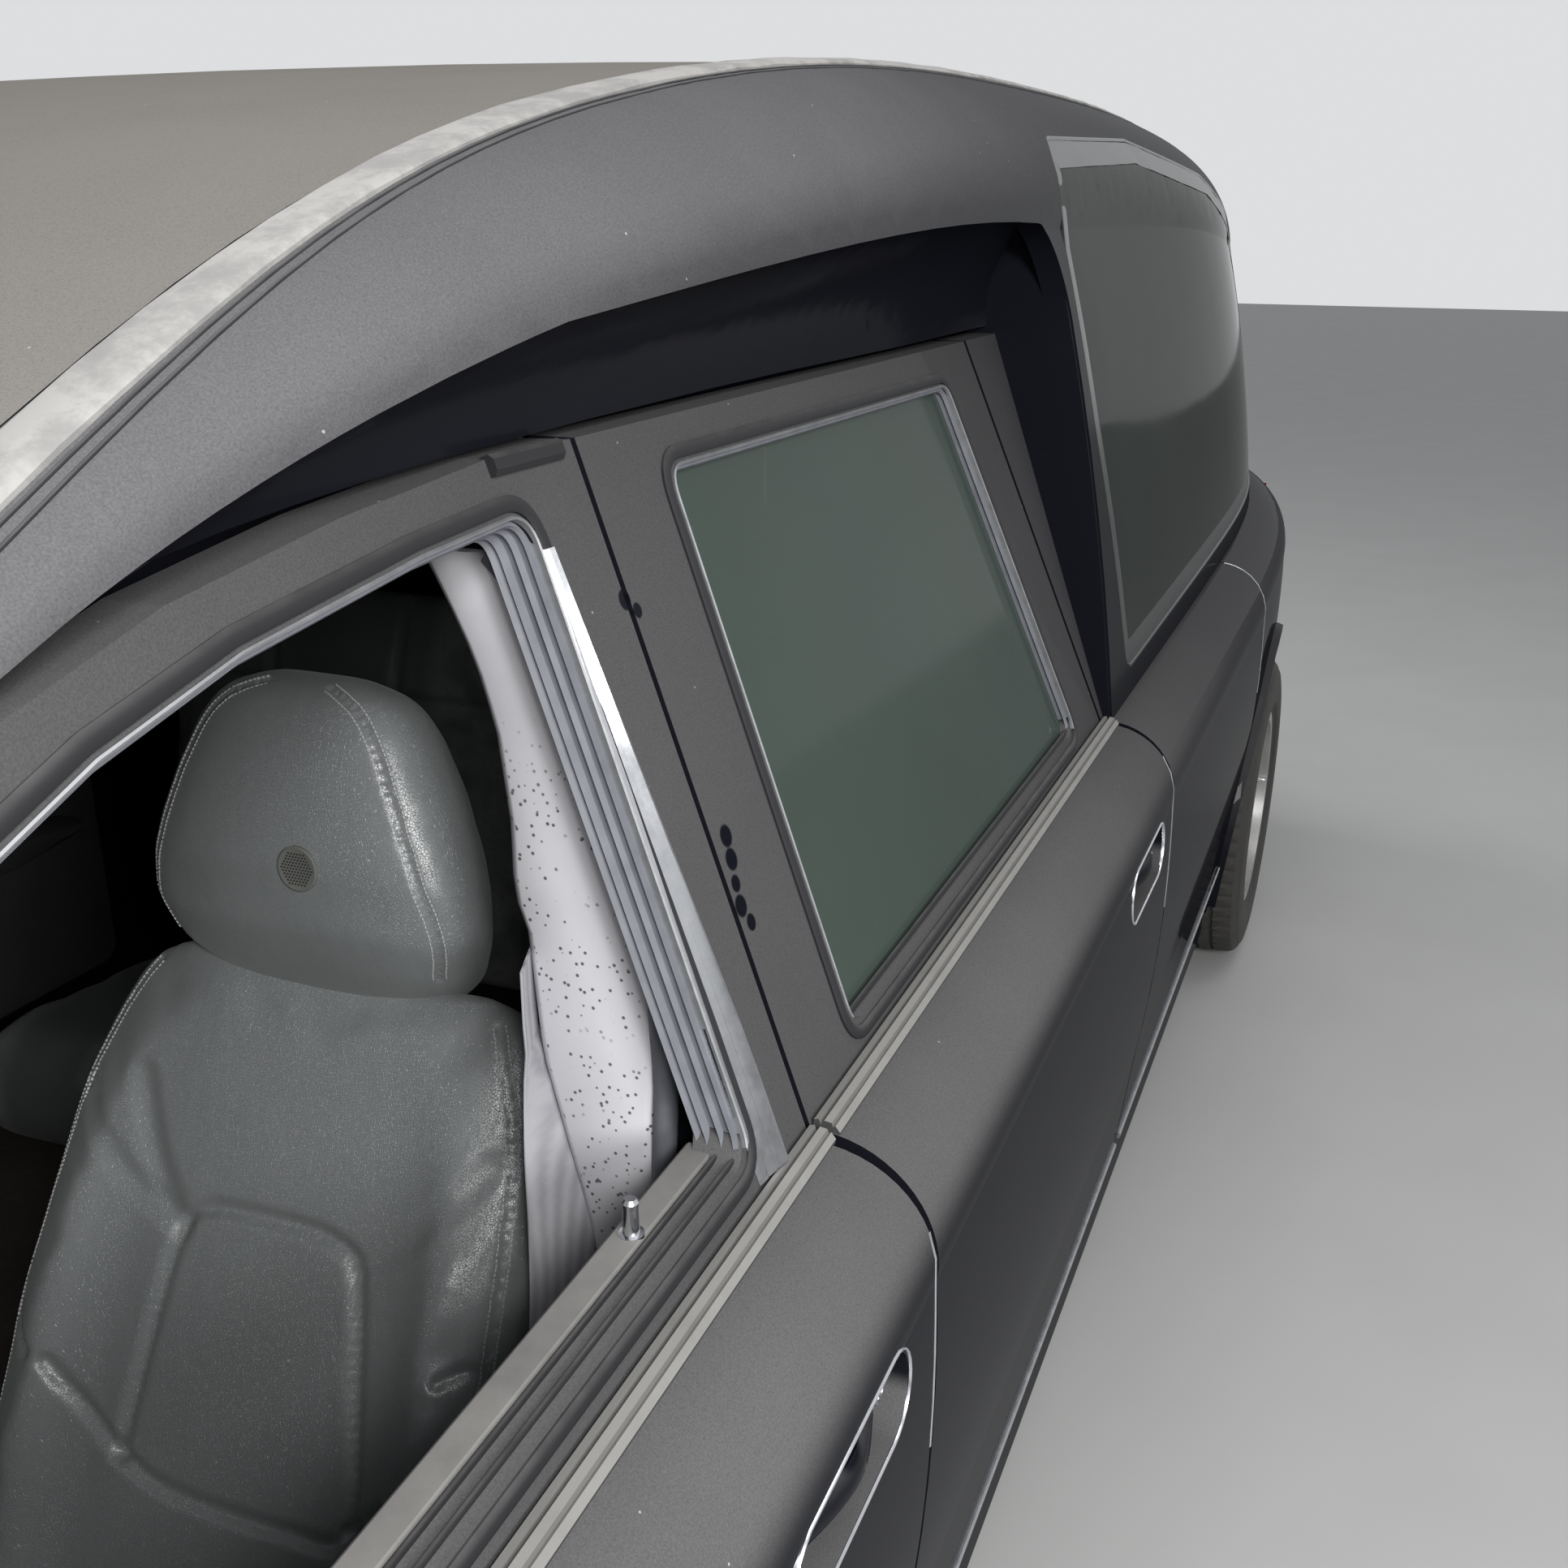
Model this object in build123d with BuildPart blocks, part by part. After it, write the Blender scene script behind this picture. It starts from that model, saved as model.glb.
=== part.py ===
"""Stretched four-door hearse with a raised roof shell, in millimetres.

The car faces -Y, +X is its left side and +Z is up. The origin is on the floor under the middle of its length.
Left-hand pieces are modelled and mirrored about X = 0.
"""

import os
from math import cos, radians, sin, tan

from build123d import *

os.makedirs("parts", exist_ok=True)

# Lengths along Y, one behind the other from the nose to the tail
FRONT_OVERHANG = 940
AXLE_TO_FRONT_DOOR = 420
FRONT_DOOR_LENGTH = 1080
REAR_DOOR_LENGTH = 1000
SIDE_PANEL_LENGTH = 1030
WING_SEAM_TO_AXLE = 420
REAR_OVERHANG = 910
DOOR_GAP = 6
PANEL_GAP = 5
MOVING_GAP = 8

BODY_LENGTH = FRONT_DOOR_LENGTH + REAR_DOOR_LENGTH + SIDE_PANEL_LENGTH
LENGTH = FRONT_OVERHANG + AXLE_TO_FRONT_DOOR + BODY_LENGTH + WING_SEAM_TO_AXLE + REAR_OVERHANG
FRONT_Y = -LENGTH / 2
FRONT_AXLE_Y = FRONT_Y + FRONT_OVERHANG
FRONT_DOOR_Y = FRONT_AXLE_Y + AXLE_TO_FRONT_DOOR
B_SEAM_Y = FRONT_DOOR_Y + FRONT_DOOR_LENGTH
REAR_DOOR_END_Y = B_SEAM_Y + REAR_DOOR_LENGTH
WING_SEAM_Y = REAR_DOOR_END_Y + SIDE_PANEL_LENGTH
REAR_AXLE_Y = WING_SEAM_Y + WING_SEAM_TO_AXLE
REAR_Y = REAR_AXLE_Y + REAR_OVERHANG
RECESS_END_Y = REAR_DOOR_END_Y + MOVING_GAP

# Body side section of the left side
BELT_X, BELT_Z = 800, 935
SHOULDER_X, SHOULDER_Z = 887, 838
WAIST_X, WAIST_Z = 888, 678
FLANK_X, FLANK_Z = 869, 478
SILL_X, SILL_Z = 842, 240
SILL_BOTTOM_Z = 200
DOOR_BOTTOM_Z = 325
WING_BOTTOM_Z = 240
DOOR_INNER_X = 765
SILL_INNER_X = 740

# Door window frames, which lean in above the belt
FRAME_FOOT_X = 792
FRAME_TOP_X, FRAME_TOP_Z = 628, 1395
FRAME_THICKNESS = 34
GLASS_THICKNESS = 5
GLASS_INSET = 12
FRAME_LEAN = (FRAME_FOOT_X - FRAME_TOP_X) / (FRAME_TOP_Z - BELT_Z)
DOOR_REAR_SLANT = 5
FRAME_REAR_SLANT = 18

# Door window and frame outlines as (Y, Z)
FRONT_WINDOW = [
    (FRONT_DOOR_Y + 168, 962),
    (FRONT_DOOR_Y + 520, 1262),
    (FRONT_DOOR_Y + 580, 1300),
    (FRONT_DOOR_Y + 650, 1322),
    (FRONT_DOOR_Y + 745, 1341),
    (B_SEAM_Y - 188, 1356),
    (B_SEAM_Y - 80, 1362),
    (B_SEAM_Y - 83, 962),
]
REAR_WINDOW = [
    (B_SEAM_Y + 108, 958),
    (B_SEAM_Y + 108, 1362),
    (REAR_DOOR_END_Y - 238, 1357),
    (REAR_DOOR_END_Y - 132, 958),
]
WINDOW_CORNER = 20

# Hollow behind each door handle: length, height, depth and its middle ahead of the door's rear seam
CUP_LENGTH, CUP_HEIGHT, CUP_DEPTH = 200, 62, 22
CUP_TO_SEAM, CUP_Z = 160, 812
FRAME_FRONT_FOOT_Y = FRONT_DOOR_Y + 35
FRAME_FRONT_TOP_Y, FRAME_FRONT_TOP_Z = FRONT_DOOR_Y + 540, 1314
FRAME_REAR_FOOT_Y = REAR_DOOR_END_Y - 12
FRAME_REAR_TOP_Y = REAR_DOOR_END_Y - 125

# Exhaust pipe
EXHAUST_R = 26

# Wheels, which have a ring of round holes
TYRE_R, TYRE_WIDTH = 325, 205
RIM_R, RIM_LIP_R, RIM_WALL = 196, 208, 8
RIM_SEAT_HALF, RIM_HALF = 84, 92
RIM_FACE_THICKNESS = 14
WHEEL_X = 790
KINGPIN_X, KINGPIN_R, KINGPIN_CLEARANCE = 752, 9, 0.5
HUB_R, HUB_BORE_R = 66, 27
STUB_R = 25
ARCH_R = 385
WHEELHOUSE_R, WHEELHOUSE_WALL = 392, 8
SPOKE_HOLES, SPOKE_HOLE_R, SPOKE_HOLE_PCR = 10, 24, 138
STEERED_CLEAR_X = 500

# Roof shell stations along Y, left half, with these columns:
# y, crown z, ridge x, ridge z, lip x, lip z, foot x
SHELL_STATIONS = [
    (FRONT_DOOR_Y + 510, 1366, 580, 1346, 660, 1296, 796),
    (FRONT_DOOR_Y + 650, 1426, 576, 1416, 648, 1368, 797),
    (FRONT_DOOR_Y + 900, 1538, 572, 1529, 686, 1449, 798),
    (B_SEAM_Y + 130, 1612, 563, 1603, 711, 1489, 800),
    (B_SEAM_Y + 560, 1664, 547, 1655, 712, 1508, 802),
    (REAR_DOOR_END_Y + 260, 1699, 531, 1690, 684, 1512, 802),
    (WING_SEAM_Y + 30, 1700, 516, 1691, 682, 1508, 799),
    (REAR_Y - 650, 1666, 490, 1657, 672, 1474, 771),
    (REAR_Y - 280, 1621, 453, 1611, 627, 1436, 716),
    (REAR_Y - 70, 1580, 422, 1570, 586, 1403, 660),
]
SHELL_THICKNESS = 30
ROOF_THICKNESS = 32
RIDGE_GAP = 1
UPPER_BULGE = 0.20
LOWER_BULGE = 12

# Recess above the doors: y, lip x, lip z, foot z, as left-hand stations under the shell's lip
CORNICE_STATIONS = [
    (FRONT_DOOR_Y + 580, 640, 1346, 1338),
    (FRONT_DOOR_Y + 680, 644, 1389, 1371),
    (FRONT_DOOR_Y + 900, 686, 1458, 1397),
    (B_SEAM_Y + 130, 711, 1497, 1403),
    (B_SEAM_Y + 560, 712, 1516, 1403),
    (B_SEAM_Y + 790, 705, 1519, 1403),
    (RECESS_END_Y + 12, 694, 1520, 1403),
]
CORNICE_FOOT_X = 618
CORNICE_FOOT_WIDTH = 24
CORNICE_HEAD_IN = (16, 26)
CORNICE_HEAD_UP = 6

# Roof shell's lower edge over the doors, two arcs and a round corner, and the tall rear side window, as (Y, Z)
LIP_ARCS = [
    (FRONT_DOOR_Y + 500, 1300),
    (FRONT_DOOR_Y + 720, 1404),
    (B_SEAM_Y - 110, 1473),
    (B_SEAM_Y + 320, 1509),
    (RECESS_END_Y - 106, 1519),
]
RECESS_CORNER = [(RECESS_END_Y - 28, 1487), (RECESS_END_Y + 4, 1409)]
QUARTER_WINDOW = [
    (REAR_DOOR_END_Y + 116, 968),
    (REAR_DOOR_END_Y + 54, 1290),
    (REAR_DOOR_END_Y + 44, 1612),
    (WING_SEAM_Y - 370, 1634),
    (WING_SEAM_Y + 330, 1600),
    (REAR_Y - 650, 1540),
    (REAR_Y - 460, 1420),
    (REAR_Y - 370, 1060),
    (REAR_Y - 430, 968),
]
QUARTER_CORNER = 45
QUARTER_GLASS_INSET, QUARTER_GLASS_THICKNESS = 2, 6
RECESS_WALL = 30

# Windscreen and its pillars
SCREEN_BASE_Z, SCREEN_BASE_X, SCREEN_BASE_Y, SCREEN_BASE_BOW = 978, 702, FRONT_DOOR_Y + 5, 90
SCREEN_TOP_Y, SCREEN_TOP_X, SCREEN_TOP_Z, SCREEN_TOP_BOW = FRONT_DOOR_Y + 510, 590, 1330, 40
SCREEN_THICKNESS = 10
PILLAR_TOP_Z = 1302

# Bonnet stations: y, half width, edge z, crown z
BONNET_REAR_Y = FRONT_DOOR_Y - 128
BONNET_STATIONS = [
    (BONNET_REAR_Y, 705, 933, 985),
    (FRONT_AXLE_Y - 40, 698, 921, 978),
    (FRONT_Y + 520, 668, 873, 935),
    (FRONT_Y + 210, 588, 785, 850),
    (FRONT_Y + 90, 540, 735, 795),
]
BONNET_THICKNESS = 30
BONNET_NOSE_BOW = 75

# The body side tapers towards both ends: y, how far the side moves in, how far the belt comes down
FRONT_TAPER = [
    (FRONT_DOOR_Y - DOOR_GAP, 0, 0),
    (FRONT_AXLE_Y - 40, 8, 14),
    (FRONT_Y + 520, 38, 62),
    (FRONT_Y + 210, 118, 150),
]
REAR_TAPER = [
    (WING_SEAM_Y + PANEL_GAP, 3, 0),
    (REAR_Y - 650, 30, 0),
    (REAR_Y - 280, 85, 0),
    (REAR_Y - 100, 132, 0),
]
FRONT_WING_INNER_X = 712
WING_END_Z = 560

# Rear end: the tailgate stands behind a slanted plane, given as (Y, Z) at the roof and at the belt
TAIL_ROOF_Y, TAIL_ROOF_Z = REAR_Y - 260, 1640
TAIL_BELT_Y = REAR_Y - 100
TAILGATE_THICKNESS = 42
TAILGATE_BOTTOM_Z = 575
TAILGATE_HALF = 620
TAIL_WINDOW_FOOT, TAIL_WINDOW_HEAD = (480, 985), (385, 1500)

# Bumpers
BUMPER_TOP_Z, BUMPER_BOTTOM_Z = 552, 300
FRONT_BUMPER_TOP_Z, FRONT_BUMPER_BOTTOM_Z = 540, 215
FRONT_BUMPER_SIDE_Y, REAR_BUMPER_SIDE_Y = FRONT_Y + 422, REAR_Y - 334
FRONT_CORNER_Y, REAR_CORNER_Y = FRONT_Y + 78, REAR_Y - 50
TOW_X, TOW_Z, TOW_R, TOW_DEPTH = 420, 380, 9, 60
LAMP_BOTTOM_Z = 562

# Floor, deck and inner walls
FLOOR_Z, FLOOR_THICKNESS = 250, 25
FLOOR_TOP_Z = FLOOR_Z + FLOOR_THICKNESS
BULKHEAD_Y = FRONT_DOOR_Y - DOOR_GAP
BULKHEAD_THICKNESS = 12
SCUTTLE_Z = 975
FLOOR_END_Y = REAR_Y - 160
DECK_Z, DECK_THICKNESS = 755, 24
PARTITION_Y, PARTITION_THICKNESS = REAR_DOOR_END_Y + 60, 15
REAR_WELL_X = 600
AXLE_OPENING_Y = REAR_AXLE_Y - 520
JACK_PAD, JACK_PAD_DEPTH = 60, 8
JACK_PADS_Y = (FRONT_DOOR_Y + 160, WING_SEAM_Y - 190)

# Seats, set out from the foot of their backs
SEAT_X, SEAT_WIDTH = 372, 500
HEADREST_WIDTH = 285
SEAT_BACK_FOOT_Y = B_SEAM_Y - 245
BENCH_HALF = 690
BENCH_BACK_FOOT_Y = PARTITION_Y - 200

# Steering wheel, whose column leans back by this angle
STEERING_CENTRE = (SEAT_X, FRONT_DOOR_Y + 450, 880)
STEERING_TILT = 25
STEERING_R, STEERING_GRIP_R = 185, 14


def section_plane(y):
    """A sketch plane across the car at y, with its own x along X and its own y along Z."""
    return Plane.XZ.offset(-y)


def both_sides(part):
    """The left-hand solids with their mirror images."""
    return Compound(children=[*part.solids(), *mirror(part, about=Plane.YZ).solids()])


def save(name, shape):
    """One STEP file per node."""
    shape.label = name
    export_step(shape, f"parts/{name}.step")


def block(x, y, z):
    """A box between two values on each axis."""
    with BuildPart() as b:
        with BuildSketch(Plane.XY.offset(z[0])):
            with Locations(((x[0] + x[1]) / 2, (y[0] + y[1]) / 2)):
                Rectangle(x[1] - x[0], y[1] - y[0])
        extrude(amount=z[1] - z[0])
    return b.part


def side_prism(points, x0, x1, corner=0):
    """A prism along X whose outline is given by (Y, Z) points, with its corners rounded by corner."""
    with BuildPart() as prism:
        with BuildSketch(Plane.YZ.offset(x0)) as outline:
            with BuildLine():
                Polyline(*points, close=True)
            make_face()
            if corner:
                fillet(outline.vertices(), corner)
        extrude(amount=x1 - x0)
    return prism.part


def plan_prism(points, z0, z1):
    """A prism along Z whose outline is given by (X, Y) points."""
    with BuildPart() as prism:
        with BuildSketch(Plane.XY.offset(z0)):
            with BuildLine():
                Polyline(*points, close=True)
            make_face()
        extrude(amount=z1 - z0)
    return prism.part


def axle_cylinder(y, z, radius, x0, x1):
    """A cylinder along X."""
    with BuildPart() as c:
        with BuildSketch(Plane.YZ.offset(x0)):
            with Locations((y, z)):
                Circle(radius)
        extrude(amount=x1 - x0)
    return c.part


def flank_x_at(z):
    """Outer X of the straight flank, from FLANK_Z down to the sill."""
    return SILL_X + (FLANK_X - SILL_X) * (z - SILL_Z) / (FLANK_Z - SILL_Z)


def body_side(stations, bottom_z, inner_x):
    """A stretch of the left body side, from the belt down to bottom_z, through (y, shift, drop) stations."""
    with BuildPart() as side:
        for y, shift, drop in stations:
            belt = (BELT_X - shift, BELT_Z - drop)
            corner = (BELT_X + 62 - shift, BELT_Z - 26 - drop)
            shoulder = (SHOULDER_X - shift, SHOULDER_Z - drop)
            waist = (WAIST_X - shift, WAIST_Z - drop * 0.6)
            flank = (FLANK_X - shift, FLANK_Z)
            with BuildSketch(section_plane(y)):
                with BuildLine():
                    ThreePointArc(belt, corner, shoulder)
                    ThreePointArc(shoulder, waist, flank)
                    Polyline(
                        flank,
                        (flank_x_at(bottom_z) - shift, bottom_z),
                        (inner_x - shift, bottom_z),
                        (inner_x - shift, BELT_Z - drop),
                        belt,
                    )
                make_face()
        loft()
    return side.part


def frame_band(y0, y1, inset, thickness):
    """A leaning band parallel to the door windows: inset from their outer face, thickness thick."""
    with BuildPart() as band:
        with BuildSketch(section_plane(y0)):
            with BuildLine():
                Polyline(
                    (FRAME_FOOT_X - inset, BELT_Z),
                    (FRAME_TOP_X - inset, FRAME_TOP_Z),
                    (FRAME_TOP_X - inset - thickness, FRAME_TOP_Z),
                    (FRAME_FOOT_X - inset - thickness, BELT_Z),
                    close=True,
                )
            make_face()
        extrude(amount=-(y1 - y0))
    return band.part


def rear_edge_cut(y_foot, y_top, x_foot, lean, slant, z0, z1):
    """A block behind a door's rear edge. Its face slants forward towards the cabin and follows the lean."""
    depth = 300
    height = z1 - z0
    rake = (y_top - y_foot) / height
    direction = Vector(-lean, rake, 1)
    with BuildPart() as cut:
        with BuildSketch(Plane.XY.offset(z0)):
            with BuildLine():
                Polyline(
                    (x_foot + 60, y_foot),
                    (x_foot, y_foot),
                    (x_foot - depth, y_foot - depth * tan(radians(slant))),
                    (x_foot - depth, y_foot + 300),
                    (x_foot + 60, y_foot + 300),
                    close=True,
                )
            make_face()
        extrude(amount=height * direction.length, dir=direction)
    return cut.part


# Doors: a thick lower box with a leaning window frame above it, in one piece
FRONT_FRAME = [
    (FRAME_FRONT_FOOT_Y, BELT_Z),
    (FRAME_FRONT_TOP_Y, FRAME_FRONT_TOP_Z),
    (FRONT_DOOR_Y + 615, 1347),
    (FRONT_DOOR_Y + 715, 1370),
    (FRONT_DOOR_Y + 840, 1385),
    (B_SEAM_Y - 100, FRAME_TOP_Z),
    (B_SEAM_Y - DOOR_GAP / 2, FRAME_TOP_Z),
    (B_SEAM_Y - DOOR_GAP / 2, BELT_Z),
]
REAR_FRAME = [
    (B_SEAM_Y + DOOR_GAP / 2, BELT_Z),
    (B_SEAM_Y + DOOR_GAP / 2, FRAME_TOP_Z),
    (FRAME_REAR_TOP_Y, FRAME_TOP_Z),
    (FRAME_REAR_FOOT_Y, BELT_Z),
]


def door(y0, y1, frame_outline, window_outline, frame_foot_y, frame_top_y):
    """A left-hand door between two seams, with its window open through the frame."""
    with BuildPart() as d:
        add(frame_band(y0, y1, 0, FRAME_THICKNESS))
        add(side_prism(frame_outline, 500, 900), mode=Mode.INTERSECT)
        add(side_prism(window_outline, 500, 900, WINDOW_CORNER), mode=Mode.SUBTRACT)
        add(
            rear_edge_cut(
                frame_foot_y, frame_top_y, FRAME_FOOT_X, FRAME_LEAN, FRAME_REAR_SLANT, BELT_Z, FRAME_TOP_Z
            ),
            mode=Mode.SUBTRACT,
        )
        add(body_side([(y0, 0, 0), (y1, 0, 0)], DOOR_BOTTOM_Z, DOOR_INNER_X))
        add(
            rear_edge_cut(y1, y1, WAIST_X, 0, DOOR_REAR_SLANT, DOOR_BOTTOM_Z - 1, BELT_Z),
            mode=Mode.SUBTRACT,
        )
        with BuildSketch(Plane.YZ.offset(SHOULDER_X - CUP_DEPTH)):
            with Locations((y1 - CUP_TO_SEAM, CUP_Z)):
                SlotOverall(CUP_LENGTH, CUP_HEIGHT)
        extrude(amount=3 * CUP_DEPTH, mode=Mode.SUBTRACT)
    return d.part


def door_glass(window_outline):
    """The pane that fills a left-hand door's window."""
    with BuildPart() as g:
        add(frame_band(FRONT_DOOR_Y, REAR_DOOR_END_Y, GLASS_INSET, GLASS_THICKNESS))
        add(side_prism(window_outline, 500, 900, WINDOW_CORNER), mode=Mode.INTERSECT)
    return g.part


front_door_left = door(
    FRONT_DOOR_Y,
    B_SEAM_Y - DOOR_GAP / 2,
    FRONT_FRAME,
    FRONT_WINDOW,
    B_SEAM_Y - DOOR_GAP / 2,
    B_SEAM_Y - DOOR_GAP / 2,
)
rear_door_left = door(
    B_SEAM_Y + DOOR_GAP / 2,
    REAR_DOOR_END_Y,
    REAR_FRAME,
    REAR_WINDOW,
    FRAME_REAR_FOOT_Y,
    FRAME_REAR_TOP_Y,
)
save("door_front_left", front_door_left)
save("door_front_right", mirror(front_door_left, about=Plane.YZ))
save("door_rear_left", rear_door_left)
save("door_rear_right", mirror(rear_door_left, about=Plane.YZ))
save("glass_front_right", mirror(door_glass(FRONT_WINDOW), about=Plane.YZ))
save("glass_rear_left", door_glass(REAR_WINDOW))
save("glass_rear_right", mirror(door_glass(REAR_WINDOW), about=Plane.YZ))


# Roof: a crowned top panel between two ridges, and a flared side shell on each side
def side_points(ridge_x, ridge_z, lip_x, lip_z, foot_x, inset):
    """Ridge, upper bulge, lip, lower bulge and foot of the side shell, pulled in by inset."""
    upper = (
        (ridge_x + lip_x) / 2 + (ridge_z - lip_z) * UPPER_BULGE - inset * 0.75,
        (ridge_z + lip_z) / 2 + (lip_x - ridge_x) * UPPER_BULGE - inset * 0.65,
    )
    lower = ((lip_x + foot_x) / 2 + LOWER_BULGE - inset, (lip_z + BELT_Z) / 2)
    return (ridge_x, ridge_z - inset), upper, (lip_x - inset, lip_z), lower, (foot_x - inset, BELT_Z)


def shell_skin(outer_inset, inner_inset):
    """The left side shell between two insets from its outer face."""
    with BuildPart() as skin:
        for y, crown_z, ridge_x, ridge_z, lip_x, lip_z, foot_x in SHELL_STATIONS:
            o = side_points(ridge_x, ridge_z, lip_x, lip_z, foot_x, outer_inset)
            i = side_points(ridge_x, ridge_z, lip_x, lip_z, foot_x, inner_inset)
            with BuildSketch(section_plane(y)):
                with BuildLine():
                    ThreePointArc(o[0], o[1], o[2])
                    ThreePointArc(o[2], o[3], o[4])
                    Line(o[4], i[4])
                    ThreePointArc(i[4], i[3], i[2])
                    ThreePointArc(i[2], i[1], i[0])
                    Line(i[0], o[0])
                make_face()
        loft()
    return skin.part


TAIL_SLOPE = (TAIL_BELT_Y - TAIL_ROOF_Y) / (TAIL_ROOF_Z - BELT_Z)


def tail_y(z):
    """Y of the body's slanted rear end at height z."""
    return TAIL_ROOF_Y + (TAIL_ROOF_Z - z) * TAIL_SLOPE


OVER_ROOF_Z = TAIL_ROOF_Z + 160
UNDER_BELT_Z = BELT_Z - 35
beyond_tail = side_prism(
    [
        (tail_y(OVER_ROOF_Z), OVER_ROOF_Z),
        (tail_y(UNDER_BELT_Z), UNDER_BELT_Z),
        (REAR_Y + 200, UNDER_BELT_Z),
        (REAR_Y + 200, OVER_ROOF_Z),
    ],
    -WAIST_X,
    WAIST_X,
)

with BuildPart() as roof_top:
    for y, crown_z, ridge_x, ridge_z, lip_x, lip_z, foot_x in SHELL_STATIONS:
        x = ridge_x - RIDGE_GAP
        under = ridge_z - ROOF_THICKNESS
        with BuildSketch(section_plane(y)):
            with BuildLine():
                ThreePointArc((-x, ridge_z), (0, crown_z), (x, ridge_z))
                Line((x, ridge_z), (x, under))
                ThreePointArc((x, under), (0, crown_z - ROOF_THICKNESS), (-x, under))
                Line((-x, under), (-x, ridge_z))
            make_face()
    loft()
    add(beyond_tail, mode=Mode.SUBTRACT)
save("roof_top", roof_top.part)

# The recess is a band that curves in from the shell's lip to the head of the doors
with BuildPart() as cornice:
    for y, lip_x, lip_z, foot_z in CORNICE_STATIONS:
        rise = lip_z - foot_z
        head = (lip_x - CORNICE_HEAD_IN[0], lip_z + CORNICE_HEAD_UP)
        foot = (min(CORNICE_FOOT_X, lip_x - 38), foot_z)
        hollow = ((head[0] + foot[0]) / 2 - rise * 0.16, (head[1] + foot[1]) / 2 + rise * 0.12)
        inner_head = (lip_x - CORNICE_HEAD_IN[1], head[1])
        inner_foot = (foot[0] - CORNICE_FOOT_WIDTH, foot_z)
        inner_hollow = (hollow[0] - CORNICE_FOOT_WIDTH, hollow[1])
        with BuildSketch(section_plane(y)):
            with BuildLine():
                ThreePointArc(head, hollow, foot)
                Line(foot, inner_foot)
                ThreePointArc(inner_foot, inner_hollow, inner_head)
                Line(inner_head, head)
            make_face()
    loft()


def shell_at(y):
    """Ridge, lip and foot of the shell's stations at y, on straight lines between them."""
    before = [row for row in SHELL_STATIONS if row[0] <= y][-1]
    after = [row for row in SHELL_STATIONS if row[0] > y][0]
    share = (y - before[0]) / (after[0] - before[0])
    return [a + (b - a) * share for a, b in zip(before[2:], after[2:])]


# The wall that closes the recess at its rear, in front of the rear side windows
with BuildPart() as recess_end:
    with BuildSketch(section_plane(RECESS_END_Y)):
        with BuildLine():
            o = side_points(*shell_at(RECESS_END_Y), 3)
            lip_x, lip_z = o[2]
            ThreePointArc(o[2], o[3], o[4])
            Polyline(
                o[4],
                (FRAME_FOOT_X - FRAME_THICKNESS, BELT_Z),
                (FRAME_TOP_X - FRAME_THICKNESS, FRAME_TOP_Z),
                (FRAME_TOP_X - FRAME_THICKNESS, lip_z - 11),
                (lip_x - 50, lip_z + 19),
                o[2],
            )
        make_face()
    extrude(amount=-RECESS_WALL)

with BuildPart() as c_pillar:
    add(frame_band(FRAME_REAR_TOP_Y - 100, RECESS_END_Y + RECESS_WALL, 0, FRAME_THICKNESS))
    add(
        side_prism(
            [
                (FRAME_REAR_FOOT_Y + MOVING_GAP, BELT_Z),
                (FRAME_REAR_TOP_Y + MOVING_GAP, FRAME_TOP_Z),
                (RECESS_END_Y + RECESS_WALL, FRAME_TOP_Z),
                (RECESS_END_Y + RECESS_WALL, BELT_Z),
            ],
            500,
            900,
        ),
        mode=Mode.INTERSECT,
    )

# Room over the doors, up to the shell's lip
with BuildPart() as over_doors:
    with BuildSketch(Plane.YZ.offset(400)):
        with BuildLine():
            ThreePointArc(*LIP_ARCS[0:3])
            ThreePointArc(*LIP_ARCS[2:5])
            ThreePointArc(LIP_ARCS[4], *RECESS_CORNER)
            foot_z = BELT_Z - 50
            rear_y, front_y = RECESS_CORNER[1][0], LIP_ARCS[0][0]
            Polyline(RECESS_CORNER[1], (rear_y, foot_z), (front_y, foot_z), LIP_ARCS[0])
        make_face()
    extrude(amount=600)

with BuildPart() as roof_side:
    add(shell_skin(0, SHELL_THICKNESS))
    add(over_doors.part, mode=Mode.SUBTRACT)
    add(side_prism(QUARTER_WINDOW, 400, 1000, QUARTER_CORNER), mode=Mode.SUBTRACT)
    add(cornice.part)
    add(recess_end.part)
    add(c_pillar.part)
    add(beyond_tail, mode=Mode.SUBTRACT)
save("roof_sides", both_sides(roof_side.part))

with BuildPart() as quarter_glass:
    add(shell_skin(QUARTER_GLASS_INSET, QUARTER_GLASS_INSET + QUARTER_GLASS_THICKNESS))
    add(side_prism(QUARTER_WINDOW, 400, 1000, QUARTER_CORNER), mode=Mode.INTERSECT)
save("quarter_windows", both_sides(quarter_glass.part))


# Body sides behind the doors, and the wings with their wheel arches
def arch(y):
    """The round opening of a left-hand wheel arch."""
    return axle_cylinder(y, TYRE_R, ARCH_R, 400, 1000)


side_panel = body_side(
    [(REAR_DOOR_END_Y + DOOR_GAP, 0, 0), (WING_SEAM_Y, 0, 0)], DOOR_BOTTOM_Z, DOOR_INNER_X
)
save("side_panels", both_sides(side_panel))

with BuildPart() as rear_wing:
    add(body_side(REAR_TAPER, WING_BOTTOM_Z, DOOR_INNER_X))
    add(arch(REAR_AXLE_Y), mode=Mode.SUBTRACT)
    bumper_room = block((400, 1000), (REAR_BUMPER_SIDE_Y - PANEL_GAP, REAR_Y + 100), (0, WING_END_Z))
    add(bumper_room, mode=Mode.SUBTRACT)
save("rear_wings", both_sides(rear_wing.part))

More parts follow.
